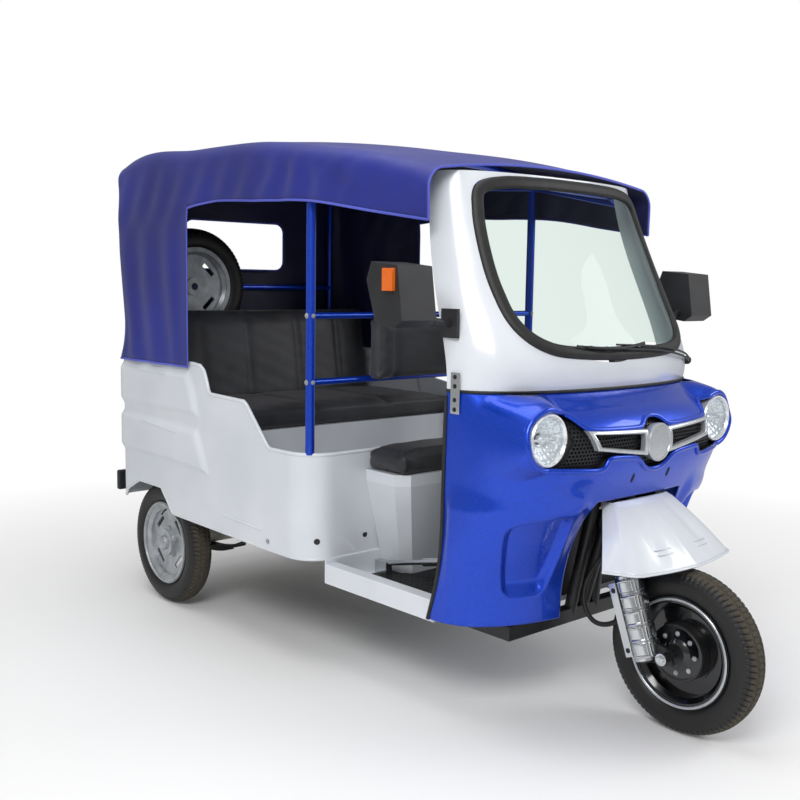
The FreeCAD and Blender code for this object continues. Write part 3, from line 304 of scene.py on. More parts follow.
# shape tools
# Smooth step from 0 to 1: 3x^2 - 2x^3
def ease(x):
    x = np.clip(x, 0.0, 1.0)
    return x * x * (3 - 2 * x)


# Rows of a table at new knots: cubic between neighbours, slopes from the rows each side
def hermiteTable(table, knots):
    table = np.asarray(table, float)
    x, values = table[:, 0], table[:, 1:]
    slope = np.gradient(values, x, axis=0)
    knots = np.clip(np.asarray(knots, float), x[0], x[-1])
    i = np.clip(np.searchsorted(x, knots, side="right") - 1, 0, len(x) - 2)
    h = (x[i + 1] - x[i])[..., None]
    t = (knots - x[i])[..., None] / h
    return ((2 * t ** 3 - 3 * t ** 2 + 1) * values[i] + (t ** 3 - 2 * t ** 2 + t) * h * slope[i]
            + (3 * t ** 2 - 2 * t ** 3) * values[i + 1] + (t ** 3 - t ** 2) * h * slope[i + 1])


# Points at even steps along a polyline
def evenly(points, count, closed=False):
    p = np.asarray(points, float)
    p = np.concatenate([p, p[:1]]) if closed else p
    length = np.concatenate([[0], np.cumsum(np.linalg.norm(np.diff(p, axis=0), axis=1))])
    s = np.linspace(0, length[-1], count, endpoint=not closed)
    return np.stack([np.interp(s, length, p[:, k]) for k in range(p.shape[1])], -1)


# Curve through points, each span a cubic whose end slopes follow the neighbours, sampled evenly
def smoothPath(points, count, closed=False):
    p = np.asarray(points, float)
    ends = ([p[-1:], p, p[:2]] if closed else [2 * p[:1] - p[1:2], p, 2 * p[-1:] - p[-2:-1]])
    q = np.concatenate(ends)
    a, b, c, d = (v[:, None, :] for v in (q[:-3], q[1:-2], q[2:-1], q[3:]))
    t = np.linspace(0, 1, 24, endpoint=False)[None, :, None]
    bend, twist = 2 * a - 5 * b + 4 * c - d, 3 * b - a - 3 * c + d
    dense = 0.5 * (2 * b + (c - a) * t + bend * t ** 2 + twist * t ** 3)
    dense = dense.reshape(-1, p.shape[1])
    return evenly(dense if closed else np.concatenate([dense, p[-1:]]), count, closed)


# Each corner replaced by points a quarter along its two sides, twice over
def cutCorners(points, rounds=2, closed=True):
    p = np.asarray(points, float)
    for _ in range(rounds):
        after = np.roll(p, -1, 0)
        both = np.stack([0.75 * p + 0.25 * after, 0.25 * p + 0.75 * after], 1).reshape(-1, p.shape[1])
        p = both if closed else np.concatenate([p[:1], both[:-2], p[-1:]])
    return p


# Quads of a rows x cols grid of points, wrapping round where closed; keep is a mask of cells
def gridFaces(rows, cols, closedRows=False, closedCols=False, keep=None):
    r = np.arange(rows if closedRows else rows - 1)
    c = np.arange(cols if closedCols else cols - 1)
    rr, cc = np.meshgrid(r, c, indexing="ij")
    nr, nc = (rr + 1) % rows, (cc + 1) % cols
    quads = np.stack([rr * cols + cc, rr * cols + nc, nr * cols + nc, nr * cols + cc], -1)
    return (quads.reshape(-1, 4) if keep is None else quads[keep]).tolist()


# Closed profile (across, out) carried along a path; out points along the given directions
def sweep(path, profile, closed=False, outward=None, caps=True):
    path = np.asarray(path, float)
    profile = np.asarray(profile, float)
    along = np.roll(path, -1, 0) - np.roll(path, 1, 0) if closed else np.gradient(path, axis=0)
    along /= np.linalg.norm(along, axis=1, keepdims=True)
    if outward is None:
        spread = np.abs(along).mean(0)
        outward = np.tile(np.eye(3)[np.argmin(spread)], (len(path), 1))
    outward = np.broadcast_to(np.asarray(outward, float), path.shape)
    outward = outward - along * (outward * along).sum(1, keepdims=True)
    outward /= np.linalg.norm(outward, axis=1, keepdims=True)
    across = np.cross(along, outward)
    points = path[:, None] + across[:, None] * profile[None, :, :1] + outward[:, None] * profile[None, :, 1:]
    faces = gridFaces(len(path), len(profile), closed, True)
    if caps and not closed:
        last = (len(path) - 1) * len(profile)
        faces += [list(range(len(profile)))[::-1], list(range(last, last + len(profile)))]
    return points.reshape(-1, 3), faces


# Round or flattened profile
def ring(radius, count=14, flat=1.0):
    a = np.linspace(0, 2 * np.pi, count, endpoint=False)
    return np.stack([radius * np.cos(a), radius * flat * np.sin(a)], -1)


# Profile (along the axis, radius) turned about the axis through a centre
def revolve(profile, centre, axis, segments=96, closedProfile=False):
    profile = np.asarray(profile, float)
    turn = np.linspace(0, 2 * np.pi, segments, endpoint=False)[:, None]
    along = np.broadcast_to(profile[None, :, 0], (segments, len(profile)))
    a, b = profile[None, :, 1] * np.cos(turn), profile[None, :, 1] * np.sin(turn)
    order = {"X": (along, a, b), "Y": (b, along, a), "Z": (a, b, along)}[axis]
    points = np.stack(order, -1) + np.asarray(centre, float)
    return points.reshape(-1, 3), gridFaces(segments, len(profile), True, closedProfile)


# Closed block with round edges: each surface point lies a bevel radius out from the block's core
def roundedBlock(low, high, bevel, cell=0.02):
    low, high = np.asarray(low, float), np.asarray(high, float)
    knots = []
    for a, b in zip(low, high):
        steps = max(int((b - a - 2 * bevel) / cell), 1) + 1
        middle = np.linspace(a + bevel, b - bevel, steps)
        first, last = np.linspace(a, middle[0], 5)[:-1], np.linspace(middle[-1], b, 5)[1:]
        knots.append(np.concatenate([first, middle, last]))
    shapes = []
    for k in range(3):
        i, j = (k + 1) % 3, (k + 2) % 3
        for end in (low[k], high[k]):
            grid = np.empty((len(knots[i]), len(knots[j]), 3))
            grid[..., k] = end
            grid[..., i], grid[..., j] = np.meshgrid(knots[i], knots[j], indexing="ij")
            core = np.clip(grid, low + bevel, high - bevel)
            away = grid - core
            away /= np.linalg.norm(away, axis=-1, keepdims=True)
            shapes.append(((core + away * bevel).reshape(-1, 3), gridFaces(*grid.shape[:2])))
    return joined(shapes)


# Hexagon head with a chamfered top on a round washer
def boltHead(place, direction, radius, height=None):
    height = height or radius * 0.8
    d = np.asarray(direction, float) / np.linalg.norm(direction)
    side = np.cross(d, (0.31, 0.52, 0.79))
    side /= np.linalg.norm(side)
    other = np.cross(d, side)
    shapes = []
    for count, levelsOut in ((16, [(1.45, 0), (1.45, 0.18), (1.35, 0.24), (0.0, 0.24)]),
                             (6, [(1.0, 0.1), (1.0, 0.8), (0.82, 1.0), (0.0, 1.0)])):
        a = np.linspace(0, 2 * np.pi, count, endpoint=False)
        around = np.cos(a)[:, None] * side + np.sin(a)[:, None] * other
        points = [np.asarray(place) + around * radius * r + d * height * h for r, h in levelsOut]
        points = np.stack(points, 1)
        shapes.append((points.reshape(-1, 3), gridFaces(count, len(levelsOut), True)))
    return joined(shapes)


# Several (points, faces) as one
def joined(shapes):
    points, faces, start = [], [], 0
    for p, f in shapes:
        p = np.asarray(p, float).reshape(-1, 3)
        points.append(p)
        faces += [[i + start for i in face] for face in f]
        start += len(p)
    return np.concatenate(points), faces


# A shape and its mirror image across the middle plane
def mirrored(shape):
    p, f = shape
    return joined([(p, f), (np.asarray(p) * (-1, 1, 1), [face[::-1] for face in f])])


# Object from joined grids, doubles merged, faces outwards; an open sheet faces away from the inside point
def meshPiece(name, shapes, slot, body="body", inside=None, wall=0.0, sharp=35, material=None):
    points, faces = joined(shapes)
    mesh = bpy.data.meshes.new(name)
    mesh.from_pydata(points.tolist(), [], faces)
    form = bmesh.new()
    form.from_mesh(mesh)
    bmesh.ops.remove_doubles(form, verts=form.verts, dist=2e-5)
    bmesh.ops.delete(form, geom=[v for v in form.verts if not v.link_faces], context="VERTS")
    bmesh.ops.recalc_face_normals(form, faces=form.faces)
    if inside is not None:
        origin = Vector(inside)
        outwards = sum((f.calc_center_median() - origin).dot(f.normal) * f.calc_area() for f in form.faces)
        if outwards < 0:
            bmesh.ops.reverse_faces(form, faces=form.faces)
    form.to_mesh(mesh)
    form.free()
    mesh.validate()
    mesh.shade_smooth()
    mesh.set_sharp_from_angle(angle=math.radians(sharp))
    mesh.materials.append(material or slotMaterials[slot])
    piece = bpy.data.objects.new(name, mesh)
    bpy.context.collection.objects.link(piece)
    if wall:
        solid = piece.modifiers.new("wall", "SOLIDIFY")
        solid.thickness = wall
        solid.offset = -1
    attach(piece, body)
    return piece


# Signed distance of (x, z) places to a closed outline, positive inside
def edgeDistance(points, outline):
    p = np.asarray(points, float).reshape(-1, 1, 2)
    a = np.asarray(outline, float)[None]
    b = np.roll(a, -1, 1)
    t = np.clip(((p - a) * (b - a)).sum(-1) / ((b - a) ** 2).sum(-1), 0, 1)
    away = np.linalg.norm(p - a - t[..., None] * (b - a), axis=-1).min(1)
    crosses = (a[..., 1] > p[..., 1]) != (b[..., 1] > p[..., 1])
    rise = np.where(b[..., 1] == a[..., 1], 1e-12, b[..., 1] - a[..., 1])
    hit = crosses & (p[..., 0] < a[..., 0] + (p[..., 1] - a[..., 1]) * (b[..., 0] - a[..., 0]) / rise)
    inside = hit.sum(1) % 2 == 1
    return np.where(inside, away, -away).reshape(np.shape(points)[:-1])


# stage, light and camera
stageSize = {"half": 30.0, "floorColour": "#f8f8f8", "fade": (1.0, 3.6)}
cameraPlace = {"place": (-2.6656, -2.7993, 1.3299), "yaw": -42.0, "pitch": 6.4, "roll": 0.9, "lens": 46.83}


# Wide pale floor at the wheels' foot, fading into the white background with distance
def makeStage():
    half = stageSize["half"]
    mesh = bpy.data.meshes.new("floor")
    corners = [(-half, -half, 0), (half, -half, 0), (half, half, 0), (-half, half, 0)]
    mesh.from_pydata(corners, [], [(0, 1, 2, 3)])
    floor = bpy.data.objects.new("floor", mesh)
    bpy.context.collection.objects.link(floor)
    mat, tree, shader = newMaterial("paintedFloor", stageSize["floorColour"], 0.9)
    away = addNode(tree, "ShaderNodeVectorMath", {0: objectPoint(tree)}, operation="LENGTH").outputs["Value"]
    far = levels(tree, away, 0.0, 1.0, stageSize["fade"])
    seen = addNode(tree, "ShaderNodeLightPath").outputs["Is Camera Ray"]
    share = addNode(tree, "ShaderNodeMath", {0: far, 1: seen}, operation="MULTIPLY").outputs[0]
    glow = addNode(tree, "ShaderNodeEmission", {"Color": (1, 1, 1, 1)})
    mix = addNode(tree, "ShaderNodeMixShader", {0: share, 1: shader.outputs[0], 2: glow.outputs[0]})
    tree.links.new(mix.outputs[0], tree.nodes["Material Output"].inputs["Surface"])
    mesh.materials.append(mat)


# White surroundings for the camera and glass rays; a softer level for the object's own light
def makeWorld():
    world = bpy.data.worlds.new("studio")
    bpy.context.scene.world = world
    world.use_nodes = True
    tree = world.node_tree
    path = addNode(tree, "ShaderNodeLightPath")
    rays = {0: path.outputs["Is Camera Ray"], 1: path.outputs["Is Transmission Ray"]}
    seen = addNode(tree, "ShaderNodeMath", rays, operation="MAXIMUM")
    level = addNode(tree, "ShaderNodeMapRange", {"Value": seen.outputs[0], "To Min": 0.42, "To Max": 1.0})
    background = tree.nodes["Background"]
    background.inputs["Color"].default_value = (1, 1, 1, 1)
    tree.links.new(level.outputs["Result"], background.inputs["Strength"])


# Soft rectangular lamp aimed at a point
def addLight(name, place, target, size, power):
    data = bpy.data.lights.new(name, "AREA")
    data.shape = "RECTANGLE"
    data.size, data.size_y = size
    data.energy = power
    lamp = bpy.data.objects.new(name, data)
    bpy.context.collection.objects.link(lamp)
    lamp.location = place
    lamp.rotation_euler = (Vector(target) - Vector(place)).to_track_quat("-Z", "Y").to_euler()


# Camera from its yaw, pitch and roll: forward, right and up written as a matrix
def makeCamera():
    yaw, pitch, roll = (math.radians(cameraPlace[k]) for k in ("yaw", "pitch", "roll"))
    forward = Vector((-math.sin(yaw) * math.cos(pitch), math.cos(yaw) * math.cos(pitch), -math.sin(pitch)))
    right = Vector((math.cos(yaw), math.sin(yaw), 0))
    up = right.cross(forward)
    rolledRight = right * math.cos(roll) + up * math.sin(roll)
    rolledUp = up * math.cos(roll) - right * math.sin(roll)
    data = bpy.data.cameras.new("camera")
    data.lens = cameraPlace["lens"]
    data.sensor_width = 36
    camera = bpy.data.objects.new("camera", data)
    bpy.context.collection.objects.link(camera)
    turn = Matrix((rolledRight, rolledUp, -forward)).transposed()
    camera.matrix_world = Matrix.Translation(cameraPlace["place"]) @ turn.to_4x4()
    bpy.context.scene.camera = camera


bpy.context.scene.view_settings.view_transform = "Standard"
makeStage()
makeWorld()
addLight("keyLight", (-3.4, -2.6, 3.6), (0, 0, 0.8), (2.4, 1.6), 112)
addLight("sideLight", (3.2, -3.4, 3.0), (0, -0.6, 0.8), (2.0, 1.6), 52)
addLight("topLight", (-0.6, 0.2, 4.6), (0, 0, 0.8), (3.0, 3.0), 70)
makeCamera()
print("stage, light and camera")

# brake hose: first, as the cords are placed before all else
brakeHose = {"radius": 0.008, "ribs": 110,
             "route": [(-62, -928, 592), (-64, -921, 555), (-72, -890, 515), (-84, -852, 462),
                       (-96, -826, 400), (-102, -828, 336), (-101, -862, 290), (-98, -912, 288),
                       (-94, -960, 316), (-92, -1003, 352)]}


# Corrugated hose: its route is a NURBS spline, and its radius swells and shrinks along it
def makeBrakeHose():
    route = [tuple(c / 1000 for c in p) for p in brakeHose["route"]]
    curve = bpy.data.curves.new("hoseRoute", "CURVE")
    curve.dimensions = "3D"
    spline = curve.splines.new("NURBS")
    spline.points.add(len(route) - 1)
    for point, place in zip(spline.points, route):
        point.co = (*place, 1)
    spline.order_u = 3
    spline.use_endpoint_u = True
    spline.resolution_u = 24
    guide = bpy.data.objects.new("hoseRoute", curve)
    bpy.context.collection.objects.link(guide)
    bpy.context.view_layer.update()
    line = bpy.data.meshes.new_from_object(guide)
    path = np.array([v.co[:] for v in line.vertices])
    bpy.data.objects.remove(guide)
    count = brakeHose["ribs"] * 4 + 1
    path = evenly(path, count)
    points, faces = sweep(path, ring(brakeHose["radius"], 16))
    ribs = 1 - 0.13 * (0.5 - 0.5 * np.cos(np.arange(count) * np.pi / 2))
    points = points.reshape(count, -1, 3)
    points = path[:, None] + (points - path[:, None]) * ribs[:, None, None]
    hose = meshPiece("brakeHose", [(points, faces)], "black_rubber", "front_fork", sharp=60)
    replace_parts(hose, "brake_hose")


makeBrakeHose()
print("brake hose")
# cab: cowl, lamps and grille
axleY = joints["front_wheel_spin"]["pos_m"][1]
axleZ = joints["front_wheel_spin"]["pos_m"][2]
rearAxleY = joints["rear_wheel_right_spin"]["pos_m"][1]
lampZ = (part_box("headlights")[0][2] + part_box("headlights")[1][2]) / 2
lampX = 0.430
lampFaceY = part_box("headlight_lenses")[0][1] - 0.006
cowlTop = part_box("front_fascia")[1][2]
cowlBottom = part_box("front_fascia")[0][2]

# height, half width, rear edge and nose behind the front axle, fullness of the plan section
cowlForm = {"sections": [(0.318, 0.540, 0.553, 0.292, 2.5), (0.448, 0.540, 0.517, 0.275, 2.5),
                         (0.588, 0.540, 0.500, 0.232, 2.8), (0.708, 0.540, 0.498, 0.172, 3.1),
                         (0.818, 0.540, 0.496, 0.132, 3.4), (0.908, 0.540, 0.494, 0.135, 3.2),
                         (0.968, 0.540, 0.493, 0.180, 2.7), (1.018, 0.540, 0.493, 0.250, 2.3)],
            "arch": [(0.318, 0.222), (0.528, 0.235), (0.645, 0.235), (0.697, 0.212), (1.018, 0.150)],
            "archTop": 0.697, "columns": 232, "rows": 160, "wall": 0.006,
            "pocket": [(0.476, 0.628), (0.452, 0.650), (0.330, 0.664), (0.292, 0.650), (0.286, 0.500),
                       (0.318, 0.384), (0.420, 0.392), (0.450, 0.500)],
            "pocketDepth": 0.026, "ridgeZ": 0.672}
frameForm = {"sections": [(1.024, 0.540, 0.493, 0.252, 2.3), (1.112, 0.535, 0.505, 0.240, 2.3),
                          (1.278, 0.520, 0.562, 0.316, 2.3), (1.378, 0.505, 0.600, 0.364, 2.3),
                          (1.508, 0.482, 0.640, 0.428, 2.4), (1.670, 0.455, 0.665, 0.505, 2.5)]}


# Plan sections at heights z: |x/half|^n + |y/depth|^n = 1, sampled densely from right to left
def planCurve(sections, z, dense=1201):
    half, rear, nose, n = hermiteTable(sections, z).T[:, :, None]
    a = np.linspace(np.pi, 0, dense)[None]
    x = half * np.sign(np.cos(a)) * np.abs(np.cos(a)) ** (2 / n)
    y = axleY + rear - (rear - nose) * np.clip(np.sin(a), 0, 1) ** (2 / n)
    return x, y


# Depth of the cab's skin at a place seen from the front
def frontY(sections, x, z):
    z = np.asarray(z, float)
    x = np.asarray(x, float)
    half, rear, nose, n = np.moveaxis(hermiteTable(sections, z), -1, 0)
    t = np.clip(np.abs(x) / half, 0, 0.9999)
    return axleY + rear - (rear - nose) * (1 - t ** n) ** (1 / n)


# The skin drawn forward round each lamp, where it would otherwise fall behind the lamp's rim
def podded(x, y, z):
    away = np.hypot(np.abs(x) - lampX, z - lampZ)
    target = lampFaceY + 0.004 + np.maximum(away - 0.092, 0) * 1.3
    reach = ease((-y - 0.755) / 0.09) * ease((0.150 - away) / 0.05)
    return y + np.minimum(target - y, 0) * reach


def cowlY(x, z):
    return podded(np.asarray(x, float), frontY(cowlForm["sections"], x, z), np.asarray(z, float))


# Closed outline of the dark recess: round both lamps, over the middle disc and stepped below
def bezelOutline():
    turn = np.radians(np.linspace(112, -90, 22))
    lamp = np.stack([lampX + 0.087 * np.cos(turn), lampZ + 0.087 * np.sin(turn)], -1)
    top = [(0.0, 0.947), (0.036, 0.941), (0.062, 0.921), (0.080, 0.914), (0.288, 0.921), (0.308, 0.932),
           (0.326, 0.955), (0.350, 0.971)]
    foot = [(0.340, 0.807), (0.241, 0.800), (0.228, 0.830), (0.215, 0.836), (0.113, 0.829), (0.082, 0.818),
            (0.058, 0.797), (0.030, 0.784), (0.0, 0.781)]
    half = np.concatenate([top, lamp, foot])
    whole = np.concatenate([half, half[-2:0:-1] * (-1, 1)])
    return evenly(cutCorners(whole, 2), 420, True)


bezel = bezelOutline()


# Moulded cowl: stacked plan sections, lamp pods, a flared ridge and a pocket low on each side
def makeCowl():
    rows = np.unique(np.concatenate([np.linspace(cowlBottom, cowlForm["archTop"], 86),
                                     np.linspace(cowlForm["archTop"], cowlTop, cowlForm["rows"] - 85)]))
    x, y = planCurve(cowlForm["sections"], rows)
    gap = np.interp(rows, *np.array(cowlForm["arch"]).T)
    count = cowlForm["columns"]
    left = int(count * 0.36)
    points = np.empty((len(rows), count, 3))
    for i in range(len(rows)):
        length = np.concatenate([[0], np.cumsum(np.hypot(np.diff(x[i]), np.diff(y[i])))])
        cut = [np.interp(-gap[i], x[i], length), np.interp(gap[i], x[i], length)]
        s = np.interp(np.arange(count), [0, left, count - 1 - left, count - 1], [0, *cut, length[-1]])
        points[i, :, 0] = np.interp(s, length, x[i])
        points[i, :, 1] = np.interp(s, length, y[i])
        points[i, :, 2] = rows[i]
    px, py, pz = points[..., 0], points[..., 1], points[..., 2]
    py = podded(px, py, pz)
    points[..., 1] = py
    across = np.gradient(points, axis=1)
    rise = np.gradient(points, axis=0)
    normal = np.cross(across, rise)
    normal /= np.linalg.norm(normal, axis=-1, keepdims=True)
    place = np.stack([np.abs(px), pz], -1)
    pocket = ease(edgeDistance(place, cutCorners(cowlForm["pocket"], 2)) / 0.020 + 0.35)
    ledge = ease((pz - 0.40) / 0.05)
    side = ease((np.abs(px) - 0.235) / 0.06)
    ridge = np.exp(-(np.maximum(pz - cowlForm["ridgeZ"], 0) / 0.045) ** 2) * ease((pz - 0.36) / 0.25)
    brow = np.exp(-((pz - 0.985) / 0.02) ** 2) * ease((0.42 - np.abs(px)) / 0.1)
    push = 0.014 * ridge * side * ease((0.60 + axleY - py) / 0.05) - cowlForm["pocketDepth"] * pocket * ledge
    push = push - 0.004 * brow
    edge = np.minimum(np.arange(count), np.arange(count)[::-1]) / 8
    points = points + normal * (push * ease(edge)[None])[..., None]
    middle = (points[:-1, :-1] + points[1:, 1:]) / 2
    inArch = (middle[..., 2] < cowlForm["archTop"]) & (np.arange(count - 1) >= left) & (
        np.arange(count - 1) < count - 1 - left)
    inBezel = (edgeDistance(middle[..., [0, 2]], bezel) > 0) & (middle[..., 1] < -0.80)
    shape = (points.reshape(-1, 3), gridFaces(len(rows), count, keep=~(inArch | inBezel)))
    cowl = meshPiece("cowl", [shape], "blue_paint", inside=(0, -0.5, 0.7), wall=cowlForm["wall"], sharp=50)
    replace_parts(cowl, "front_fascia")
    return points


# Outward direction of the skin seen from the front
def skinNormal(x, z, depth=cowlY):
    step = 0.002
    dx = (depth(x + step, z) - depth(x - step, z)) / (2 * step)
    dz = (depth(x, z + step) - depth(x, z - step)) / (2 * step)
    n = np.stack([dx, -np.ones_like(dx), dz], -1)
    return n / np.linalg.norm(n, axis=-1, keepdims=True)


cowlGrid = makeCowl()
lipPath = np.stack([bezel[:, 0], cowlY(bezel[:, 0], bezel[:, 1]), bezel[:, 1]], -1)
lipOut = skinNormal(bezel[:, 0], bezel[:, 1])
lipOut[:, 0] = np.clip(lipOut[:, 0], -0.8, 0.8)
meshPiece("bezelLip", [sweep(lipPath, ring(0.0085, 14, 0.8), True, lipOut)], "blue_paint", sharp=80)


# Dark recess: side wall from the lip, back sheet, and a honeycomb of raised cells over it
def makeGrille():
    depth = 0.030
    wallOut = np.stack([lipPath, lipPath + (0, depth, 0)], 1)
    wall = (wallOut.reshape(-1, 3), gridFaces(len(lipPath), 2, True))
    x, z = np.meshgrid(np.linspace(-0.535, 0.535, 215), np.linspace(0.775, 0.995, 56))
    y = cowlY(x, z) + depth
    centre = (np.stack([x, z], -1)[:-1, :-1] + np.stack([x, z], -1)[1:, 1:]) / 2
    fromLamp = np.hypot(np.abs(centre[..., 0]) - lampX, centre[..., 1] - lampZ)
    keep = (edgeDistance(centre, bezel) > -0.006) & (fromLamp > 0.073)
    back = (np.stack([x, y, z], -1).reshape(-1, 3), gridFaces(*x.shape, keep=keep))
    panel = meshPiece("grilleRecess", [wall, back], "black_plastic", inside=(0, 5, 0.9))
    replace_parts(panel, "grille_panel")
    pitch = 0.0125
    col, row = np.meshgrid(np.arange(-42, 43), np.arange(-9, 10))
    cx = (col * pitch + (row % 2) * pitch / 2).ravel()
    cz = (0.880 + row * pitch * 0.866).ravel()
    clear = (edgeDistance(np.stack([cx, cz], -1), bezel) > 0.006) & (
        np.hypot(np.abs(cx) - lampX, cz - lampZ) > 0.088)
    cx, cz = cx[clear, None, None], cz[clear, None, None]
    turn = np.radians(np.arange(6) * 60 + 30)[None, :, None]
    reach = (pitch / math.sqrt(3)) * np.array([1.0, 1.0, 0.72, 0.72])[None, None, :]
    lift = np.array([0.0, 0.009, 0.009, 0.0])[None, None, :]
    hx, hz = cx + reach * np.cos(turn), cz + reach * np.sin(turn)
    hy = cowlY(hx, hz) + depth - lift
    cells = np.stack([hx, hy, hz], -1)
    base = np.arange(len(cells)) * 24
    quads = np.array(gridFaces(6, 4, True))[None] + base[:, None, None]
    comb = (cells.reshape(-1, 3), quads.reshape(-1, 4).tolist())
    meshPiece("grilleMesh", [comb], "black_plastic", sharp=20)


# Bright trapezoid frame each side of a plain domed disc
def makeTrim():
    outer = np.array([(0.052, 0.909), (0.303, 0.920), (0.279, 0.862), (0.052, 0.829)])
    inner = np.array([(0.070, 0.896), (0.286, 0.908), (0.268, 0.872), (0.070, 0.845)])
    rings = []
    for t, lift in ((-0.02, -0.012), (0.0, 0.004), (0.16, 0.0075), (0.5, 0.0085), (0.84, 0.0075),
                    (1.0, 0.004),
                    (1.02, -0.012)):
        corners = outer + (inner - outer) * t
        steps = np.linspace(0, 1, 14, endpoint=False)[None, :, None]
        loop = (corners[:, None] * (1 - steps) + np.roll(corners, -1, 0)[:, None] * steps).reshape(-1, 2)
        rings.append(np.stack([loop[:, 0], cowlY(loop[:, 0], loop[:, 1]) - lift, loop[:, 1]], -1))
    frameShape = (np.stack(rings, 1).reshape(-1, 3), gridFaces(len(rings[0]), len(rings), True))
    discZ = 0.866
    face = cowlY(np.array([0.0]), np.array([discZ]))[0]
    profile = [(face + 0.02, 0.0), (face + 0.02, 0.055), (face + 0.002, 0.0585), (face - 0.006, 0.0585),
               (face - 0.009, 0.056), (face - 0.009, 0.052), (face - 0.0065, 0.0505), (face - 0.0075, 0.035),
               (face - 0.0085, 0.018), (face - 0.0088, 0.0)]
    disc = revolve(profile, (0, 0, discZ), "Y", 96)
    trim = meshPiece("grilleTrim", [mirrored(frameShape), disc], "silver_plastic", sharp=28)
    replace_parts(trim, "grille_trim")


# Headlamps: fluted reflector bowl with a bulb cap, chrome bezel ring and a domed clear lens
def makeLamps():
    a = np.linspace(0, 2 * np.pi, 144, endpoint=False)[:, None]
    r = np.concatenate([np.linspace(0.069, 0.016, 26), [0.016]])[None]
    y = lampFaceY + 0.012 + 0.034 * (1 - (r / 0.070) ** 2)
    flute = 0.0011 * np.cos(a * 20) * ease((r - 0.02) / 0.03) + 0.0009 * np.cos(r / 0.0022)
    bowl = np.stack([lampX + r * np.sin(a), y + flute, lampZ + r * np.cos(a)], -1)
    bowlShape = (bowl.reshape(-1, 3), gridFaces(144, r.shape[1], True))
    cap = revolve([(lampFaceY + 0.06, 0.013), (lampFaceY + 0.030, 0.013), (lampFaceY + 0.025, 0.010),
                   (lampFaceY + 0.023, 0.0)], (lampX, 0, lampZ), "Y", 32)
    bar = roundedBlock((lampX - 0.062, lampFaceY + 0.024, lampZ - 0.003),
                       (lampX + 0.062, lampFaceY + 0.030, lampZ + 0.003), 0.001)
    bezelRing = revolve([(lampFaceY + 0.020, 0.066), (lampFaceY + 0.006, 0.067), (lampFaceY, 0.0705),
                         (lampFaceY - 0.001, 0.074), (lampFaceY + 0.004, 0.077), (lampFaceY + 0.040, 0.077),
                         (lampFaceY + 0.040, 0.070)], (lampX, 0, lampZ), "Y", 96, True)
    bowls = meshPiece("lampBowls", [mirrored(bowlShape), mirrored(cap), mirrored(bar), mirrored(bezelRing)],
                      "lamp_bowl", sharp=25)
    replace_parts(bowls, "headlights")
    dome = [(lampFaceY + 0.010 - 0.016 * (1 - (q / 0.0665) ** 2), q) for q in np.linspace(0, 0.0665, 16)]
    dome += [(y + 0.002, q) for y, q in reversed(dome)]
    lens = meshPiece("lampLenses", [mirrored(revolve(dome, (lampX, 0, lampZ), "Y", 72))], "clear_lens")
    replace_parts(lens, "headlight_lenses")


makeGrille()
makeTrim()
makeLamps()
print("cowl, grille and lamps")


# Rubber strip in the seam, rubber edging down the cowl's rear edges, black capsules as painted shade in the two
# slots, and screwed strap plates
def makeCabTrim():
    z = np.full(1, cowlTop + 0.0035)
    x, y = planCurve(cowlForm["sections"], z)
    seam = evenly(np.stack([x[0], y[0], np.full(x.shape[1], z[0])], -1), 220)
    out = seam - (0, axleY + 0.50, 0)
    out[:, 2] = 0
    strip = sweep(seam, [(-0.0045, -0.006), (0.0045, -0.006), (0.0045, 0.001), (0.002, 0.003),
                         (-0.002, 0.003),
                         (-0.0045, 0.001)], outward=out)
    edging = []
    for column in (0, -1):
        edging.append(sweep(cowlGrid[::4, column] + (0, 0.002, 0), ring(0.0065, 12, 1.0)))
    meshPiece("cabRubber", [strip] + edging, "black_rubber", sharp=50)
    # Black capsules on the skin stand in for the two open slots: painted shade of the holes
    slots = []
    for side in (-1, 1):
        at = (side * 0.091, cowlY(side * 0.091, 0.761), 0.761)
        a = np.linspace(0, 2 * np.pi, 24, endpoint=False)[:, None]
        r = np.array([1.0, 0.85, 0.6, 0.0])[None]
        lift = np.array([0.0, 0.0022, 0.0006, 0.0004])[None]
        across, up = at[0] + 0.0045 * r * np.cos(a), at[2] + 0.016 * r * np.sin(a)
        slot = np.stack([across, at[1] - lift + 0 * a, up], -1)
        slot[..., 1] += cowlY(slot[..., 0], slot[..., 2]) - at[1]
        slots.append((slot.reshape(-1, 3), gridFaces(24, 4, True)))
    meshPiece("cowlSlotShade", slots, "black_rubber")
    plates, screws = [], []
    for side in (-1, 1):
        xOut = side * 0.5435
        x0, x1 = sorted((xOut, xOut - side * 0.004))
        plates.append(roundedBlock((x0, -0.697, 0.955), (x1, -0.660, 1.076), 0.0015))
        for zScrew in (0.968, 0.996, 1.036, 1.063):
            screws.append(boltHead((xOut + side * 0.0001, -0.678, zScrew), (side, 0, 0), 0.0048, 0.004))
    meshPiece("strapPlates", plates, "chrome")
    meshPiece("strapScrews", screws, "black_paint", sharp=20)


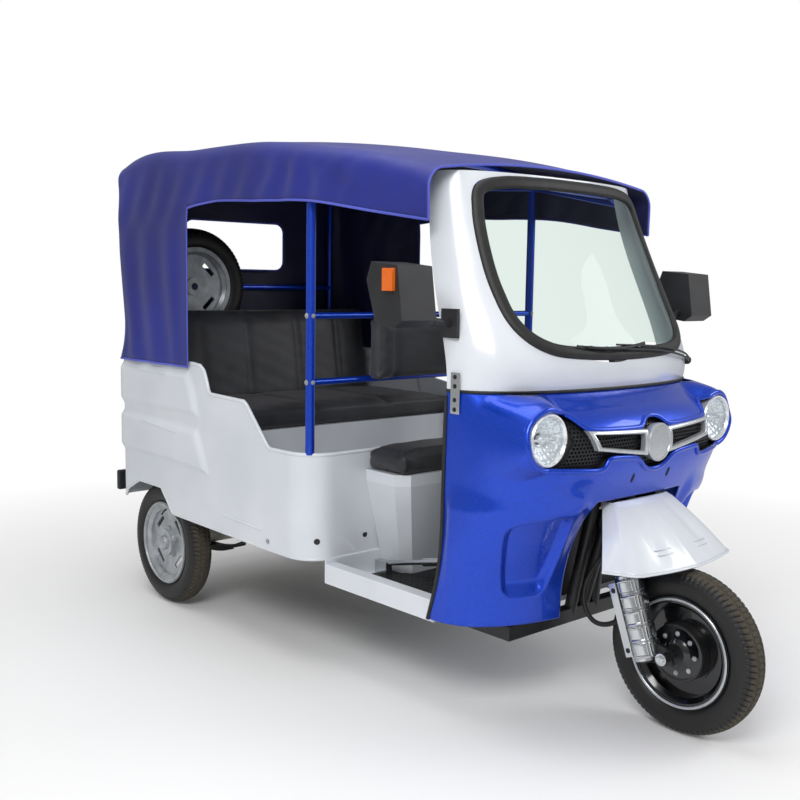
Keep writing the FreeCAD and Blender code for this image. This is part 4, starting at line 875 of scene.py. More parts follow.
# Rubber gasket: a rounded band carried round the screen opening
def makeGasket():
    half = np.array([(0, 1.113), (0.247, 1.122), (0.353, 1.146), (0.413, 1.206), (0.431, 1.308),
                     (0.428, 1.430),
                     (0.412, 1.561), (0.385, 1.630), (0.300, 1.654), (0.147, 1.660), (0, 1.661)])
    middle = np.array([0, (half[0, 1] + half[-1, 1]) / 2])
    size = np.array([0.431, (half[-1, 1] - half[0, 1]) / 2])
    whole = np.concatenate([half, half[-2:0:-1] * (-1, 1)])
    loop = middle + (whole - middle) * (size - 0.014) / size
    loop = smoothPath(loop, 260, True)

    def depth(x, z):
        return frontY(frameForm["sections"], x, z)

    path = np.stack([loop[:, 0], depth(loop[:, 0], loop[:, 1]), loop[:, 1]], -1)
    out = skinNormal(loop[:, 0], loop[:, 1], depth)
    profile = [(-0.019, -0.007), (-0.019, 0.001), (-0.015, 0.005), (-0.006, 0.0075), (0.003, 0.0075),
               (0.009, 0.005), (0.012, 0.0045), (0.017, 0.003), (0.019, -0.001), (0.019, -0.009)]
    turn = 1 if np.cross(path[1] - path[0], out[0])[2] > 0 else -1
    profile = np.array(profile) * (turn, 1)
    gasket = meshPiece("screenGasket", [sweep(path, profile, True, out)], "black_rubber", sharp=50)
    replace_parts(gasket, "windscreen_seal")


# Wiper: sprung claw bar over a rubber blade, twin arm rods and a pivot cap
def makeWiper():
    def onGlass(x, z, lift):
        x, z = np.asarray(x, float), np.asarray(z, float)
        return np.stack([x, frontY(frameForm["sections"], x, z) - lift, z], -1)

    span = np.linspace(-0.235, 0.080, 40)
    zBlade = 1.146 + 0.010 * ((span + 0.09) / 0.16) ** 2
    blade = sweep(onGlass(span, zBlade, 0.007), [(-0.003, -0.005), (0.003, -0.005), (0.0012, 0.004),
                                                 (-0.0012, 0.004)])
    bar = sweep(onGlass(span[4:-4], zBlade[4:-4], 0.012 + 0.012 * np.sin(np.linspace(0, np.pi, 32))),
                ring(0.0045, 10))
    claws = [sweep(onGlass([x, x], [z - 0.004, z + 0.004], 0.010), ring(0.006, 8))
             for x, z in zip(span[[6, 14, 25, 33]], zBlade[[6, 14, 25, 33]])]
    arms = []
    for gap in (-0.006, 0.006):
        ends = [(-0.078, 1.150 + gap), (0.150, 1.138 + gap), (0.330, 1.112 + gap), (0.440, 1.086 + gap / 2)]
        line = smoothPath(ends, 40)
        arms.append(sweep(onGlass(line[:, 0], line[:, 1], 0.017), ring(0.0032, 10)))
    pivot = onGlass(0.446, 1.084, 0.0)
    capForm = [(0.012, 0.0), (0.012, 0.014), (-0.016, 0.014), (-0.022, 0.010), (-0.024, 0.0)]
    cap = revolve(capForm, pivot, "Y", 28)
    wiper = meshPiece("wiperSet", [blade, bar, cap] + claws + arms, "black_plastic", sharp=40)
    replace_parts(wiper, "wiper")


makeCabTrim()
makeGasket()
makeWiper()
print("cab trim, gasket and wiper")

# canopy: one sheet of coated cloth
# place along the tricycle, crown height, half width, hem height of the side flap
canopyCut = {"stations": [(-0.560, 1.708, 0.546, 1.516), (-0.349, 1.760, 0.578, 1.547),
                          (-0.069, 1.804, 0.600, 1.590), (0.262, 1.846, 0.600, 1.606),
                          (0.552, 1.855, 0.600, 1.616), (0.715, 1.856, 0.600, 1.600),
                          (1.185, 1.854, 0.600, 1.606), (1.305, 1.818, 0.600, 1.606)],
             "rearSideY": 0.715, "hemZ": 0.997, "shoulder": 0.060, "drop": 0.034, "corner": 0.050,
             "rearY": 1.309,
             "window": (0.268, 1.379, 1.600, 0.045), "cloth": 0.0025, "flat": (2.8, 2.75)}
canopyRim = {}


# Half section from hem to crown at places y: vertical side, quarter round shoulder, shallow arc over
def canopySection(y):
    crown, half, flap = hermiteTable(canopyCut["stations"], y).T[:, :, None]
    r, drop, hem = canopyCut["shoulder"], canopyCut["drop"], canopyCut["hemZ"]
    shoulderZ = crown - drop - r
    low, high, turn, over = (np.linspace(0, 1, n)[None] for n in (24, 8, 9, 22))
    straight = half * np.ones_like(low), half * np.ones_like(high)
    x = [straight[0], straight[1], half - r + r * np.cos(turn * np.pi / 2), (half - r) * (1 - over)]
    z = [hem + (flap - hem) * low, flap + (shoulderZ - flap) * high, shoulderZ + r * np.sin(turn * np.pi / 2),
         crown - drop * (1 - over) ** 2]
    return [np.concatenate([part[:, min(i, 1):] for i, part in enumerate(parts)], 1) for parts in (x, z)]


# Soft folds: flaps that wave at the hem, gathers at the post and hanging folds at the rear sides
def clothFolds(p):
    x, y, z = p[..., 0], p[..., 1], p[..., 2]
    side = ease((np.abs(x) - 0.50) / 0.08) * ease((1.80 - z) / 0.12)
    low = ease((1.72 - z) / 0.15)
    wave = 0.0045 * np.sin(15 * y + 0.7 + 2 * z) * low * ease((0.80 - y) / 0.1)
    fan = np.sin(60 * (y - 0.002) / (1 + 9 * np.abs(1.70 - z)))
    gather = 0.0035 * fan * np.exp(-((y - 0.002) / 0.22) ** 2)
    waves = 1 + np.sin(34 * y + 2.2 * np.sin(3 * z))
    hang = 0.0050 * waves * ease((y - 0.74) / 0.12) * ease((1.66 - z) / 0.3)
    pull = 0.0030 * np.sin(42 * (y + 0.55 * z)) * ease((z - 1.50) / 0.1)
    out = np.sign(x) * side * (wave + gather + hang + pull)
    bows = np.interp(y, [-0.45, -0.22, 0.002, 0.37, 0.735, 1.01, 1.28], [0, 1, 0, 1, 0, 1, 0])
    sag = 0.0035 * ease(bows) * ease((0.56 - np.abs(x)) / 0.1)
    pinch = np.interp(z, [0.997, 1.06, 1.13, 1.30, 1.45, 1.60], [0.012, 0.038, 0.050, 0.026, 0.008, 0.0])
    pinch = pinch * ease((y - 1.05) / 0.25) * ease((np.abs(x) - 0.548) / 0.04)
    return p + np.stack([out, -pinch, -sag], -1)


# Roof and sides from half sections, rounded into a rear wall that closes on the window's outline
def makeCanopy():
    front = np.linspace(canopyCut["stations"][0][0], canopyCut["rearSideY"], 110)
    rear = np.linspace(canopyCut["rearSideY"], canopyCut["rearY"] - canopyCut["corner"], 50)[1:]
    y = np.concatenate([front, rear])
    x, z = canopySection(y)
    columns = x.shape[1]
    right = np.stack([-x, np.broadcast_to(y[:, None], x.shape), z], -1)
    body = np.concatenate([right, (right * (-1, 1, 1))[:, -2::-1]], 1)
    endX, endZ = body[-1, :, 0], body[-1, :, 2]
    inwards = np.stack([-np.sign(endX) * ease((np.abs(endX) - 0.50) / 0.06),
                        -ease((endZ - 1.70) / 0.1)], -1)
    corner = []
    for turn in np.linspace(0, np.pi / 2, 9)[1:]:
        inset = canopyCut["corner"] * (1 - np.cos(turn))
        yRow = canopyCut["rearY"] - canopyCut["corner"] * (1 - np.sin(turn))
        corner.append(np.stack([endX + inwards[:, 0] * inset, np.full_like(endX, yRow),
                                endZ + inwards[:, 1] * inset], -1))
    body = np.concatenate([body, np.array(corner)])
    count = body.shape[1]
    cell = np.arange(count - 1)
    lowSide = (cell < 23) | (cell >= count - 24)
    keep = ~(lowSide[None] & (np.arange(len(body) - 1) < len(front) - 1)[:, None])
    foot = np.linspace(body[-1, -1, 0], body[-1, 0, 0], 60)[1:-1]
    foot = np.stack([foot, np.full_like(foot, canopyCut["rearY"]), np.full_like(foot, canopyCut["hemZ"])], -1)
    outer = np.concatenate([body[-1], foot])
    half, low, high, r = canopyCut["window"]
    middle = np.array([0, (low + high) / 2])
    away = outer[:, [0, 2]] - middle
    turn = np.arctan2(away[:, 1], away[:, 0])
    quarter = np.linspace(0, np.pi / 2, 16)
    corners = [((half - r) * a, middle[1] + ((high - low) / 2 - r) * b, s) for a, b, s in
               ((1, 1, 0), (-1, 1, 1), (-1, -1, 2), (1, -1, 3))]
    outline = np.concatenate([np.stack([cx + r * np.cos(quarter + s * np.pi / 2),
                                        cz + r * np.sin(quarter + s * np.pi / 2)], -1) for cx, cz, s in corners])
    outline = evenly(outline, 800, True)
    angles = np.arctan2(outline[:, 1] - middle[1], outline[:, 0])
    order = np.argsort(angles)
    inner = np.stack([np.interp(turn, angles[order], outline[order, k], period=2 * np.pi)
                      for k in (0, 1)], -1)
    steps = np.linspace(0, 1, 26)[:, None, None]
    flatWall = outer[None][..., [0, 2]] * (1 - steps) + inner[None] * steps
    wall = np.stack([flatWall[..., 0], np.full(flatWall.shape[:2], canopyCut["rearY"]), flatWall[..., 1]], -1)
    wall[..., 1] += 0.004 * np.sin(11 * wall[..., 0] + 3 * wall[..., 2]) * np.sin(np.pi * steps[..., 0])
    body, wall = clothFolds(body), clothFolds(wall)
    shapes = [(body.reshape(-1, 3), gridFaces(*body.shape[:2], keep=keep)),
              (wall.reshape(-1, 3), gridFaces(*wall.shape[:2], False, True))]
    canopy = meshPiece("canopyCloth", shapes, "canopy_fabric", inside=(0, 0.4, 1.4),
                       wall=canopyCut["cloth"], sharp=60)
    # The inner faces take a darker copy of the same navy cloth: painted shade inside the canopy
    canopy.data.materials.append(coatedCanvas("canvasInsideShade", "#0b0e38", "#11154a"))
    canopy.modifiers["wall"].material_offset = 1
    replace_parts(canopy, "canopy")
    canopyRim.update(flap=body[:len(front), 23], side=body[len(front) - 1, :24],
                     rearHem=body[len(front) - 1:, 0],
                     nose=body[0, 23:count - 23], foot=wall[0, count - 1:], window=wall[-1], columns=columns)


# Lighter stitched binding along every hem, as a flat bead
def makeWelt():
    bead = ring(0.0042, 10, 0.55)
    edges = [canopyRim[k] for k in ("flap", "side", "rearHem")]
    shapes = [mirrored(sweep(evenly(edge, max(int(len(edge) * 1.5), 30)), bead, outward=(-1, 0, 0)))
              for edge in edges]
    shapes.append(sweep(evenly(canopyRim["nose"], 140), bead, outward=(0, -1, 0)))
    shapes.append(sweep(canopyRim["foot"], bead, outward=(0, 1, 0)))
    shapes.append(sweep(evenly(canopyRim["window"], 220, True), ring(0.005, 10, 0.55), True, (0, 1, 0)))
    meshPiece("canopyWelt", shapes, "canopy_fabric", sharp=70, material=weltCloth)


makeCanopy()
makeWelt()
print("canopy")

# body: one moulded tub
tub = {"half": 0.590, "rearY": 1.305, "rearCorner": 0.060, "frontY": -0.038, "frontCorner": 0.110,
       "entryY": 0.335,
       "top": [(0.072, 0.745), (0.186, 0.745), (0.203, 0.752), (0.249, 0.799), (0.334, 0.886), (0.352, 0.897),
               (0.580, 0.903), (0.590, 0.915), (0.603, 0.950), (0.622, 0.988), (0.650, 1.006),
               (0.700, 1.010)],
       "leftTop": [(0.335, 0.865), (0.575, 0.901), (0.590, 0.915), (0.603, 0.950), (0.622, 0.988),
                   (0.650, 1.006),
                   (0.700, 1.010)],
       "foot": [(0.072, 0.382), (0.220, 0.382), (0.866, 0.394), (0.905, 0.435), (0.957, 0.488),
                (1.140, 0.490),
                (1.240, 0.440), (1.255, 0.410)],
       "pillows": [[(1.34, 0.990), (0.724, 0.990), (0.720, 0.980), (0.682, 0.915), (0.647, 0.800),
                    (1.34, 0.803)],
                   [(1.34, 0.786), (0.662, 0.768), (0.622, 0.690), (0.570, 0.584), (0.874, 0.597),
                    (1.34, 0.606)]],
       "beads": [[(1.235, 0.965), (0.886, 0.955)], [(1.094, 0.752), (0.807, 0.733)],
                 [(0.499, 0.455), (0.226, 0.447)]],
       "pillowLift": 0.014, "columns": 560, "rows": 74, "wall": 0.008, "rim": 0.0075}


# Plan line from the left entry edge round the rear and right side to the left front corner
def tubPath():
    half, rear, r = tub["half"], tub["rearY"], tub["rearCorner"]
    front, q = tub["frontY"], tub["frontCorner"]
    a = np.linspace(0, np.pi / 2, 20)

    def arc(cx, cy, radius, start):
        return np.stack([cx + radius * np.cos(start + a), cy + radius * np.sin(start + a)], -1)

    line = [[(half, tub["entryY"])], arc(half - r, rear - r, r, 0), arc(r - half, rear - r, r, np.pi / 2),
            arc(q - half, front + q, q, np.pi), arc(half - q, front + q, q, 1.5 * np.pi)]
    return evenly(np.concatenate(line), tub["columns"])


# How far the wall stands out at (y, z) places: two pillows on the sides, and a slight belly low in front
def tubSwell(place, side=1.0):
    lift = sum(ease(edgeDistance(place, pillow) / 0.035) for pillow in tub["pillows"])
    lift = lift * tub["pillowLift"] * side
    low = np.clip((place[..., 1] - 0.382) / 0.363, 0, 1)
    return lift + 0.006 * np.sin(np.pi * low) * ease((0.45 - place[..., 0]) / 0.2)


# Wall between its foot and top lines, with the quarter's two raised pillows, and rolled rims
def makeTub():
    line = tubPath()
    along = np.gradient(line, axis=0)
    out = np.stack([along[:, 1], -along[:, 0]], -1)
    out /= np.linalg.norm(out, axis=1, keepdims=True)
    left = (line[:, 0] > 0) & (line[:, 1] > 0.3)
    top = np.where(left, np.interp(line[:, 1], *np.array(tub["leftTop"]).T),
                   np.interp(line[:, 1], *np.array(tub["top"]).T))
    foot = np.interp(line[:, 1], *np.array(tub["foot"]).T)
    t = np.linspace(0, 1, tub["rows"])[:, None]
    z = foot + (top - foot) * t
    place = np.stack([np.broadcast_to(line[:, 1], z.shape), z], -1)
    side = ease((np.abs(line[:, 0]) - 0.50) / 0.06)
    push = tubSwell(place, side)
    points = np.concatenate([line + out * push[..., None], z[..., None]], -1)
    shape = (points.reshape(-1, 3), gridFaces(*z.shape))
    wall = meshPiece("bodyTub", [shape], "white_gelcoat", inside=(0, 0.6, 0.7), wall=tub["wall"], sharp=50)
    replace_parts(wall, "side_panel_right", "side_panel_left", "rear_panel", "front_partition")
    outward = np.concatenate([out, np.zeros((len(out), 1))], 1)
    rims = [sweep(points[-1] - outward * 0.003, ring(tub["rim"], 12, 0.9), outward=outward),
            sweep(points[0] - outward * 0.003, ring(0.0055, 10, 0.9), outward=outward)]
    for column in (0, -1):
        edge = points[:, column]
        rims.append(sweep(edge, ring(0.0060, 10), outward=(1, 0, 0)))
    meshPiece("tubRims", rims, "white_gelcoat", sharp=60)
    beads = []
    for ends in tub["beads"]:
        row = evenly(ends, 30)
        bead = np.stack([-(tub["half"] + tubSwell(row)), row[:, 0], row[:, 1]], -1)
        shape = sweep(bead, ring(0.0038, 10, 0.8), outward=(-1, 0, 0))
        beads.append(shape)
        if ends[0][0] > 0.6:
            beads.append((shape[0] * (-1, 1, 1), [f[::-1] for f in shape[1]]))
    meshPiece("tubBeads", beads, "white_gelcoat", sharp=60)


# Bolt heads: partition studs, side studs, white heads on the posts, and feet of the posts
def makeFixings():
    black, white = [], []
    for x in (-0.539, -0.339, -0.136, 0.136, 0.339, 0.480):
        y = tub["frontY"] if abs(x) < 0.48 else tub["frontY"] + 0.016
        facing = (0, -1, 0) if abs(x) < 0.48 else (-0.5, -0.8, 0)
        black.append(boltHead((x, y - 0.002, 0.446), facing, 0.0075))
    white.append(boltHead((-0.5905, 0.194, 0.414), (-1, 0, 0), 0.0075))
    for side in (-1, 1):
        for z in (0.993, 1.217):
            white.append(boltHead((side * 0.568, 0.002, z), (side, 0, 0), 0.0065))
            white.append(boltHead((side * 0.552, -0.0135, z), (0, -1, 0), 0.0055))
    meshPiece("studs", black, "black_paint", sharp=20)
    meshPiece("postBolts", white, "silver_paint", sharp=20)


# Ribbed red lens over a black base on each rear corner, with its upper third amber
def makeTailLamps():
    low, high = (np.array(v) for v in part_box("tail_lights"))
    width, base = 0.090, 0.006
    bases, reds, ambers = [], [], []
    for side in (-1, 1):
        x0, x1 = sorted((side * (high[0] - width), side * high[0]))
        bases.append(roundedBlock((x0, low[1], low[2]), (x1, low[1] + base, high[2]), 0.002))
        split = low[2] + 0.62 * (high[2] - low[2])
        for z0, z1, pile in ((low[2] + 0.004, split - 0.001, reds), (split + 0.001, high[2] - 0.004, ambers)):
            block, faces = roundedBlock((x0 + 0.004, low[1] + base, z0), (x1 - 0.004, high[1], z1),
                                        0.007, 0.002)
            ribs = 0.0009 * np.cos(block[:, 2] / 0.0011) * ease((block[:, 1] - low[1] - 0.012) / 0.01)
            pile.append((block + np.stack([0 * ribs, ribs, 0 * ribs], -1), faces))
    meshPiece("tailLampBases", bases, "black_plastic")
    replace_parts(meshPiece("tailLampLenses", reds, "red_lens", sharp=50), "tail_lights")
    meshPiece("tailLampIndicators", ambers, "amber_lens", sharp=50)


makeTub()
makeFixings()
makeTailLamps()
print("body tub and fixings")

# cushions
cushions = {"driver_cushion": {"bevel": 0.020, "cell": 0.010, "crown": 0.010, "seams": [], "cap": 0.008},
            "driver_backrest": {"bevel": 0.016, "cell": 0.010, "crown": 0.007, "seams": [-0.235, 0.235],
                                "cap": 0.007},
            "passenger_cushion": {"bevel": 0.020, "cell": 0.014, "crown": 0.010, "seams": [-0.185, 0.185],
                                  "cap": 0.008},
            "passenger_backrest": {"bevel": 0.022, "cell": 0.014, "crown": 0.010,
                                   "seams": [-0.36, -0.13, 0.13, 0.36], "cap": 0.009}}
clothRun = {"frames": 12, "pressure": 4.0, "fill": 0.6, "shrink": 0.004}


# Cloth with inner pressure and no gravity, applied, with each point's movement capped
def inflated(piece, cap):
    start = np.empty(len(piece.data.vertices) * 3)
    piece.data.vertices.foreach_get("co", start)
    cloth = piece.modifiers.new("stuffing", "CLOTH")
    cloth.settings.quality = 4
    cloth.settings.use_pressure = True
    cloth.settings.uniform_pressure_force = clothRun["pressure"]
    cloth.settings.effector_weights.gravity = 0
    cloth.settings.tension_stiffness = 30
    cloth.settings.compression_stiffness = 30
    cloth.collision_settings.use_collision = False
    scene = bpy.context.scene
    for step in range(1, clothRun["frames"] + 1):
        scene.frame_set(step)
    done = piece.evaluated_get(bpy.context.evaluated_depsgraph_get())
    end = np.empty_like(start)
    done.data.vertices.foreach_get("co", end)
    piece.modifiers.remove(cloth)
    scene.frame_set(1)
    move = (end - start).reshape(-1, 3)
    size = np.linalg.norm(move, axis=1, keepdims=True)
    move *= np.minimum(1, cap / np.maximum(size, 1e-9))
    piece.data.vertices.foreach_set("co", (start.reshape(-1, 3) + move).ravel())
    piece.data.update()


# Stuffed block: rounded slab, blown up as cloth, crowned on its sitting face, with sewn valleys across it
def makeCushion(node, form):
    low, high = (np.array(v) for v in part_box(node))
    leaning = node == "passenger_backrest"
    top = node.endswith("cushion")
    if leaning:
        high[1] = low[1] + 0.078
    shrink = clothRun["shrink"]
    points, faces = roundedBlock(low + shrink, high - shrink, form["bevel"], form["cell"])
    piece = meshPiece(node.replace("_c", "C").replace("_b", "B"), [(points, faces)], "seat_leather", sharp=60)
    inflated(piece, form["cap"])
    p = np.empty(len(piece.data.vertices) * 3)
    piece.data.vertices.foreach_get("co", p)
    p = p.reshape(-1, 3)
    u = np.clip((p - low) / (high - low), 0, 1)
    sitting = ease((u[:, 2] - 0.5) / 0.4) if top else ease((0.5 - u[:, 1]) / 0.4)
    across = u[:, 1] if top else u[:, 2]
    edge = np.minimum(1, 6 * np.minimum(u[:, 0], 1 - u[:, 0]))
    edge = edge * np.minimum(1, 5 * np.minimum(across, 1 - across))
    valley = sum(np.exp(-(np.abs(p[:, 0] - x) / 0.010)) for x in form["seams"]) if form["seams"] else 0
    lift = form["crown"] * sitting * (ease(edge) - 0.6) - 0.011 * valley * sitting
    wave = 0.0012 * np.sin(31 * p[:, 0] + 17 * across) * np.sin(23 * across + 9 * p[:, 0]) * sitting
    if top:
        p[:, 2] += lift + wave
        welt = ease(1 - np.abs(u[:, 2] - 0.62) / 0.10)
        middle = (low + high) / 2
        inwards = np.sign(middle - p) * (np.abs(p - middle) > (high - low) / 2 - 0.016)
        p[:, :2] += 0.004 * inwards[:, :2] * welt[:, None]
    else:
        p[:, 1] -= lift + wave
    if leaning:
        p[:, 1] += (p[:, 2] - low[2]) * (0.068 / 0.448)
    piece.data.vertices.foreach_set("co", p.ravel())
    piece.data.update()
    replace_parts(piece, node)


for cushionNode, cushionForm in cushions.items():
    makeCushion(cushionNode, cushionForm)
print("cushions")

# wheels
tyreForm = {"profile": [(0.032, 0.157), (0.036, 0.168), (0.045, 0.180), (0.0492, 0.194), (0.0497, 0.206),
                        (0.0470, 0.220), (0.0405, 0.2345), (0.0330, 0.2415), (0.0200, 0.2475), (0.0, 0.2500)],
            "lugs": 84, "steps": 588, "depth": 0.0055}


# Tyre: its section turned round, with zigzag ribs and slanted shoulder lugs cut into the tread
def makeTyre(node, centre, axis, body):
    half = smoothPath(tyreForm["profile"], 34)
    section = np.concatenate([half, half[-2::-1] * (-1, 1)])
    section = np.concatenate([section, [(-0.030, 0.153), (0.030, 0.153)]])
    n = tyreForm["steps"]
    turn = np.linspace(0, 2 * np.pi, n, endpoint=False)[:, None]
    x, r = section[None, :, 0], section[None, :, 1]
    phase = turn * tyreForm["lugs"] / (2 * np.pi)
    zigzag = np.abs((phase % 1) - 0.5) * 4 - 1
    tread = ease((r - 0.224) / 0.006)
    ribs = ease(1.6 - np.abs(np.abs(x) - 0.0135 - 0.0022 * zigzag) / 0.0016)
    slant = np.sign(x) * 0.5 + np.abs(x) * 16
    slots = ease(1.5 - np.abs(((phase + slant) % 1) - 0.5) / 0.10) * ease((np.abs(x) - 0.0185) / 0.003)
    fine = ease(1.4 - np.abs(((phase + np.abs(x) * 9) % 1) - 0.5) / 0.07) * ease((0.0125 - np.abs(x)) / 0.003)
    groove = np.clip(ribs + slots + 0.6 * fine, 0, 1) * tread
    bands = ease(1 - np.abs(r - 0.186) / 0.0022) + ease(1 - np.abs(r - 0.212) / 0.0022)
    rings = 0.0008 * bands * (r < 0.222)
    r = r - tyreForm["depth"] * groove
    x = x + np.sign(x) * rings
    a, b = r * np.cos(turn), r * np.sin(turn)
    x = np.broadcast_to(x, a.shape)
    points = np.stack({"X": (x, a, b), "Y": (b, x, a)}[axis], -1) + np.asarray(centre)
    name = node.split("_")
    tyre = meshPiece(name[0] + "".join(w.capitalize() for w in name[1:]),
                     [(points.reshape(-1, 3), gridFaces(n, len(section), True, True))], "tyre", body, sharp=45)
    co = np.empty(len(tyre.data.vertices) * 3)
    tyre.data.vertices.foreach_get("co", co)
    away = np.delete(co.reshape(-1, 3) - np.asarray(centre), "XY".index(axis), 1)
    dusty = ease((np.linalg.norm(away, axis=1) - 0.236) / 0.006)
    tyre.data.attributes.new("lugTop", "FLOAT", "POINT").data.foreach_set("value", dusty)
    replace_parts(tyre, node)


# Outer face: stepped lip rings, five nuts round a domed cap, and a valve
def makeRearWheelTrim(side, body):
    sign = -1 if side == "right" else 1
    centre = np.array([sign * 0.525, rearAxleY, axleZ])
    lip = np.array([(0.0455, 0.1655), (0.0475, 0.163), (0.0470, 0.158), (0.040, 0.155), (0.031, 0.1535),
                    (0.029, 0.150), (0.026, 0.146), (0.020, 0.1445), (0.018, 0.150), (0.030, 0.1565),
                    (0.040, 0.160)])
    rings = revolve(lip * (sign, 1), centre, "X", 96, True)
    cap = revolve([(sign * 0.018, 0.032), (sign * 0.044, 0.030), (sign * 0.052, 0.026), (sign * 0.056, 0.016),
                   (sign * 0.057, 0.0)], centre, "X", 40)
    nuts = []
    for k in range(5):
        a = 2 * np.pi * k / 5 + 0.3
        place = centre + (sign * 0.020, 0.056 * math.cos(a), 0.056 * math.sin(a))
        nuts.append(boltHead(place, (sign, 0, 0), 0.0085, 0.010))
    valveFoot = centre + (sign * 0.030, 0, 0.138)
    valvePath = [valveFoot, valveFoot + (sign * 0.014, 0, -0.008), valveFoot + (sign * 0.022, 0, -0.020)]
    valve = sweep(evenly(valvePath, 10), ring(0.0035, 10))
    meshPiece(f"rearRimTrim_{side}", [rings, cap] + nuts, "silver_paint", body, sharp=28)
    meshPiece(f"rearValve_{side}", [valve], "black_rubber", body)


# Bright lip line on each side, ribbed drum plate, ring of small bolts and axle nuts
def makeFrontWheelTrim():
    centre = np.array([0.0, axleY, axleZ])
    lips, bolts, plate, nuts = [], [], [], []
    for sign in (-1, 1):
        lips.append(revolve([(sign * 0.0448, 0.1575), (sign * 0.0475, 0.1600), (sign * 0.0480, 0.1640),
                             (sign * 0.0460, 0.1660), (sign * 0.0440, 0.1655)], centre, "X", 120, True))
        plate.append(revolve([(sign * 0.040, 0.088), (sign * 0.0465, 0.086), (sign * 0.0475, 0.080),
                              (sign * 0.0450, 0.074), (sign * 0.0455, 0.046), (sign * 0.0500, 0.040),
                              (sign * 0.0550, 0.030), (sign * 0.0560, 0.022)], centre, "X", 72))
        for k in range(8):
            a = 2 * np.pi * k / 8
            bolts.append(boltHead(centre + (sign * 0.0452, 0.060 * math.cos(a), 0.060 * math.sin(a)),
                                  (sign, 0, 0), 0.0052, 0.005))
        nuts.append(boltHead((sign * 0.127, axleY, axleZ), (sign, 0, 0), 0.013, 0.012))
    meshPiece("frontRimLips", lips, "silver_plastic", "front_wheel", sharp=50)
    meshPiece("frontDrumPlates", plate, "black_rim_paint", "front_wheel", sharp=25)
    meshPiece("frontDrumBolts", bolts, "silver_paint", "front_wheel", sharp=20)
    meshPiece("frontAxleNuts", nuts, "chrome", "front_fork", sharp=20)


makeTyre("front_tyre", (0, axleY, axleZ), "X", "front_wheel")
makeTyre("rear_tyre_right", (-0.525, rearAxleY, axleZ), "X", "rear_wheel_right")
makeTyre("rear_tyre_left", (0.525, rearAxleY, axleZ), "X", "rear_wheel_left")
spareLow, spareHigh = (np.array(v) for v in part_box("spare_tyre"))
makeTyre("spare_tyre", (spareLow + spareHigh) / 2, "Y", "body")
for wheelSide in ("right", "left"):
    makeRearWheelTrim(wheelSide, f"rear_wheel_{wheelSide}")
makeFrontWheelTrim()
print("wheels")

# fork covers and fender
rakeAngle = math.radians(20)
forkCover = {"legX": 0.100, "lowZ": 0.236, "highZ": 0.458, "radius": 0.0412, "panels": 5, "ridge": 0.0022}
fenderForm = {"low": [(0.284, 0.105), (0.280, 0.098), (0.262, 0.058), (0.236, 0.012), (0.170, -0.008),
                      (0.090, -0.022), (0.0, -0.030)],
              "high": [(0.140, 0.222), (0.144, 0.208), (0.143, 0.190), (0.136, 0.176), (0.100, 0.169),
                       (0.070, 0.166), (0.0, 0.163)],
              "lowZ": 0.515, "highZ": 0.690, "plateFall": 0.5, "wall": 0.0035}


# Bright half round cover on each leg with five stepped panels in outline, and a flat strip with two screws
def makeForkCovers():
    covers, screws = [], []
    direction = np.array([0, math.sin(rakeAngle), math.cos(rakeAngle)])
    forwards = np.array([0, -math.cos(rakeAngle), math.sin(rakeAngle)])
    for sign in (-1, 1):
        foot = np.array([sign * forkCover["legX"], -1.065 + (forkCover["lowZ"] - 0.25) * math.tan(rakeAngle),
                         forkCover["lowZ"]])
        length = (forkCover["highZ"] - forkCover["lowZ"]) / math.cos(rakeAngle)
        t, a = np.meshgrid(np.linspace(0, 1, 130), np.linspace(-1.95, 1.95, 90), indexing="ij")
        cellZ = np.abs(((t * forkCover["panels"]) % 1) - 0.5) * 2
        cellA = np.abs(((a + 1.95) / 1.3) % 1 - 0.5) * 2
        inside = ease((0.86 - cellZ) / 0.06) * ease((0.88 - cellA) / 0.06)
        border = inside * (1 - ease((0.70 - cellZ) / 0.06) * ease((0.80 - cellA) / 0.05))
        step = 0.0016 * (((t * forkCover["panels"]) % 1) - 0.5)
        r = forkCover["radius"] + forkCover["ridge"] * border + step
        side = np.array([sign, 0, 0])
        around = np.cos(a)[..., None] * forwards + np.sin(a)[..., None] * side
        points = foot + direction * (t * length)[..., None] + around * r[..., None]
        covers.append((points.reshape(-1, 3), gridFaces(130, 90)))
        strip = foot + side * 0.0445 - forwards * 0.018
        corner = [strip + direction * h * length - forwards * w for h in (0.04, 0.97) for w in (0.0, 0.024)]
        low, high = corner[0], corner[3]
        ends = np.array([low, corner[1], high, corner[2]])
        faceOut = [ends, ends - side * 0.004]
        covers.append((np.concatenate(faceOut), [[0, 1, 2, 3], [7, 6, 5, 4]] + [
            [k, k + 4, (k + 1) % 4 + 4, (k + 1) % 4] for k in range(4)]))
        for h in (0.12, 0.88):
            screws.append(boltHead(strip + direction * h * length - forwards * 0.012, side, 0.0055, 0.004))
    cover = meshPiece("forkCoverSkins", covers, "chrome", "front_fork", sharp=30)
    wall = cover.modifiers.new("wall", "SOLIDIFY")
    wall.thickness = 0.0008
    wall.offset = 1
    meshPiece("forkCoverScrews", screws, "black_paint", "front_fork", sharp=20)


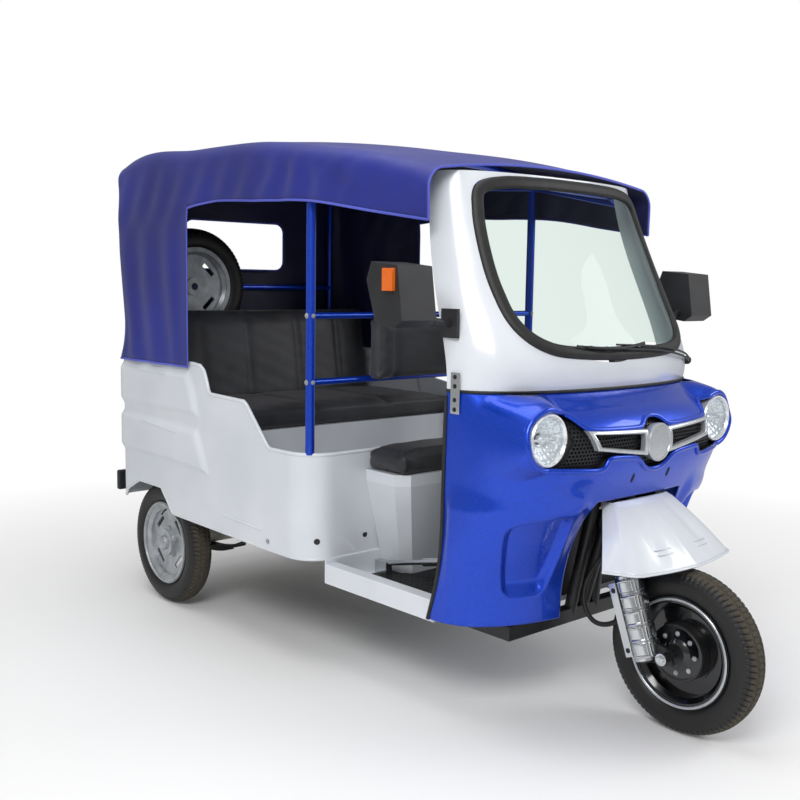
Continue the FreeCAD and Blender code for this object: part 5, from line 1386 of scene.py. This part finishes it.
# Faceted skirt between a wide lower line and a narrow upper one, rolled over into a falling top plate
def makeFender():
    low, high = smoothPath(fenderForm["low"], 90), smoothPath(fenderForm["high"], 90)
    rows = []
    for t in np.concatenate([np.linspace(0, 0.93, 22), [0.965, 0.99, 1.0]]):
        place = low + (high - low) * t
        z = fenderForm["lowZ"] + (fenderForm["highZ"] - fenderForm["lowZ"]) * t
        z -= 0.0036 * ease((t - 0.93) / 0.07)
        bow = 0.006 * np.sin(np.pi * t) * (1 - 0.8 * np.exp(-((np.linspace(0, 1, 90) - 0.62) / 0.10) ** 2))
        rows.append(np.stack([-place[:, 0] - bow * (place[:, 0] > 0.02), axleY + place[:, 1] - bow,
                              np.full(len(place), z)], -1))
    edge = rows[-1]
    for t in np.linspace(0.06, 1, 12):
        x = edge[:, 0] * (1 - 0.03 * t)
        y = edge[:, 1] + (-0.905 - edge[:, 1]) * t
        z = edge[:, 2] + 0.002 - fenderForm["plateFall"] * np.maximum(y + 0.957, 0)
        rows.append(np.stack([x, y, z], -1))
    half = np.array(rows)
    whole = np.concatenate([half, (half * (-1, 1, 1))[:, -2::-1]], 1)
    fender = meshPiece("fenderShell", [(whole.reshape(-1, 3), gridFaces(*whole.shape[:2]))], "white_gelcoat",
                       "front_fork", inside=(0, -0.95, 0.45), wall=fenderForm["wall"], sharp=40)
    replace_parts(fender, "front_fender")
    hem = sweep(whole[0], ring(0.0035, 10), outward=(0, 0, 1))
    marks = []
    for z in (0.556, 0.568):
        t = (z - fenderForm["lowZ"]) / (fenderForm["highZ"] - fenderForm["lowZ"])
        place = low + (high - low) * t
        row = np.stack([-place[:, 0], axleY + place[:, 1] - 0.006 * np.sin(np.pi * t) - 0.001,
                        np.full(len(place), z)], -1)
        row = row[(row[:, 0] < -0.060) & (row[:, 0] > -0.130)]
        marks.append(mirrored(sweep(row, ring(0.0022, 8), outward=(0, -1, 0))))
    meshPiece("fenderHem", [hem] + marks, "white_gelcoat", "front_fork", sharp=60)


makeForkCovers()
makeFender()
print("fork covers and fender")

# cab floor
floorMat = {"low": (-0.462, -0.640, 0.3062), "high": (0.462, -0.075, 0.3100), "pitch": 0.026}


# Rubber mat with raised lozenges turned alternately, laid in the tray
def makeFloorMat():
    low, high = np.array(floorMat["low"]), np.array(floorMat["high"])
    base = roundedBlock(low, high, 0.0015, 0.2)
    pitch = floorMat["pitch"]
    nx, ny = int((high[0] - low[0]) / pitch), int((high[1] - low[1]) / pitch)
    i, j = (g.ravel() for g in np.meshgrid(np.arange(nx), np.arange(ny)))
    cx, cy = low[0] + (i + 0.5) * pitch, low[1] + (j + 0.5) * pitch
    angle = np.where((i + j) % 2, 0.785, -0.785)[:, None]
    long, wide = np.array([0.011, 0, -0.011, 0])[None], np.array([0, 0.0042, 0, -0.0042])[None]
    shapes = []
    for scale, z in ((1.0, high[2] - 0.0002), (0.72, high[2] + 0.0022)):
        x = cx[:, None] + scale * (long * np.cos(angle) - wide * np.sin(angle))
        y = cy[:, None] + scale * (long * np.sin(angle) + wide * np.cos(angle))
        shapes.append(np.stack([x, y, np.full_like(x, z)], -1))
    points = np.concatenate(shapes, 1)
    start = (np.arange(len(points)) * 8)[:, None, None]
    lozenge = np.array([[0, 1, 5, 4], [1, 2, 6, 5], [2, 3, 7, 6], [3, 0, 4, 7], [4, 5, 6, 7]])
    faces = (start + lozenge).reshape(-1, 4)
    meshPiece("floorMat", [base, (points.reshape(-1, 3), faces.tolist())], "black_rubber", sharp=25)


makeFloorMat()
print("floor mat")
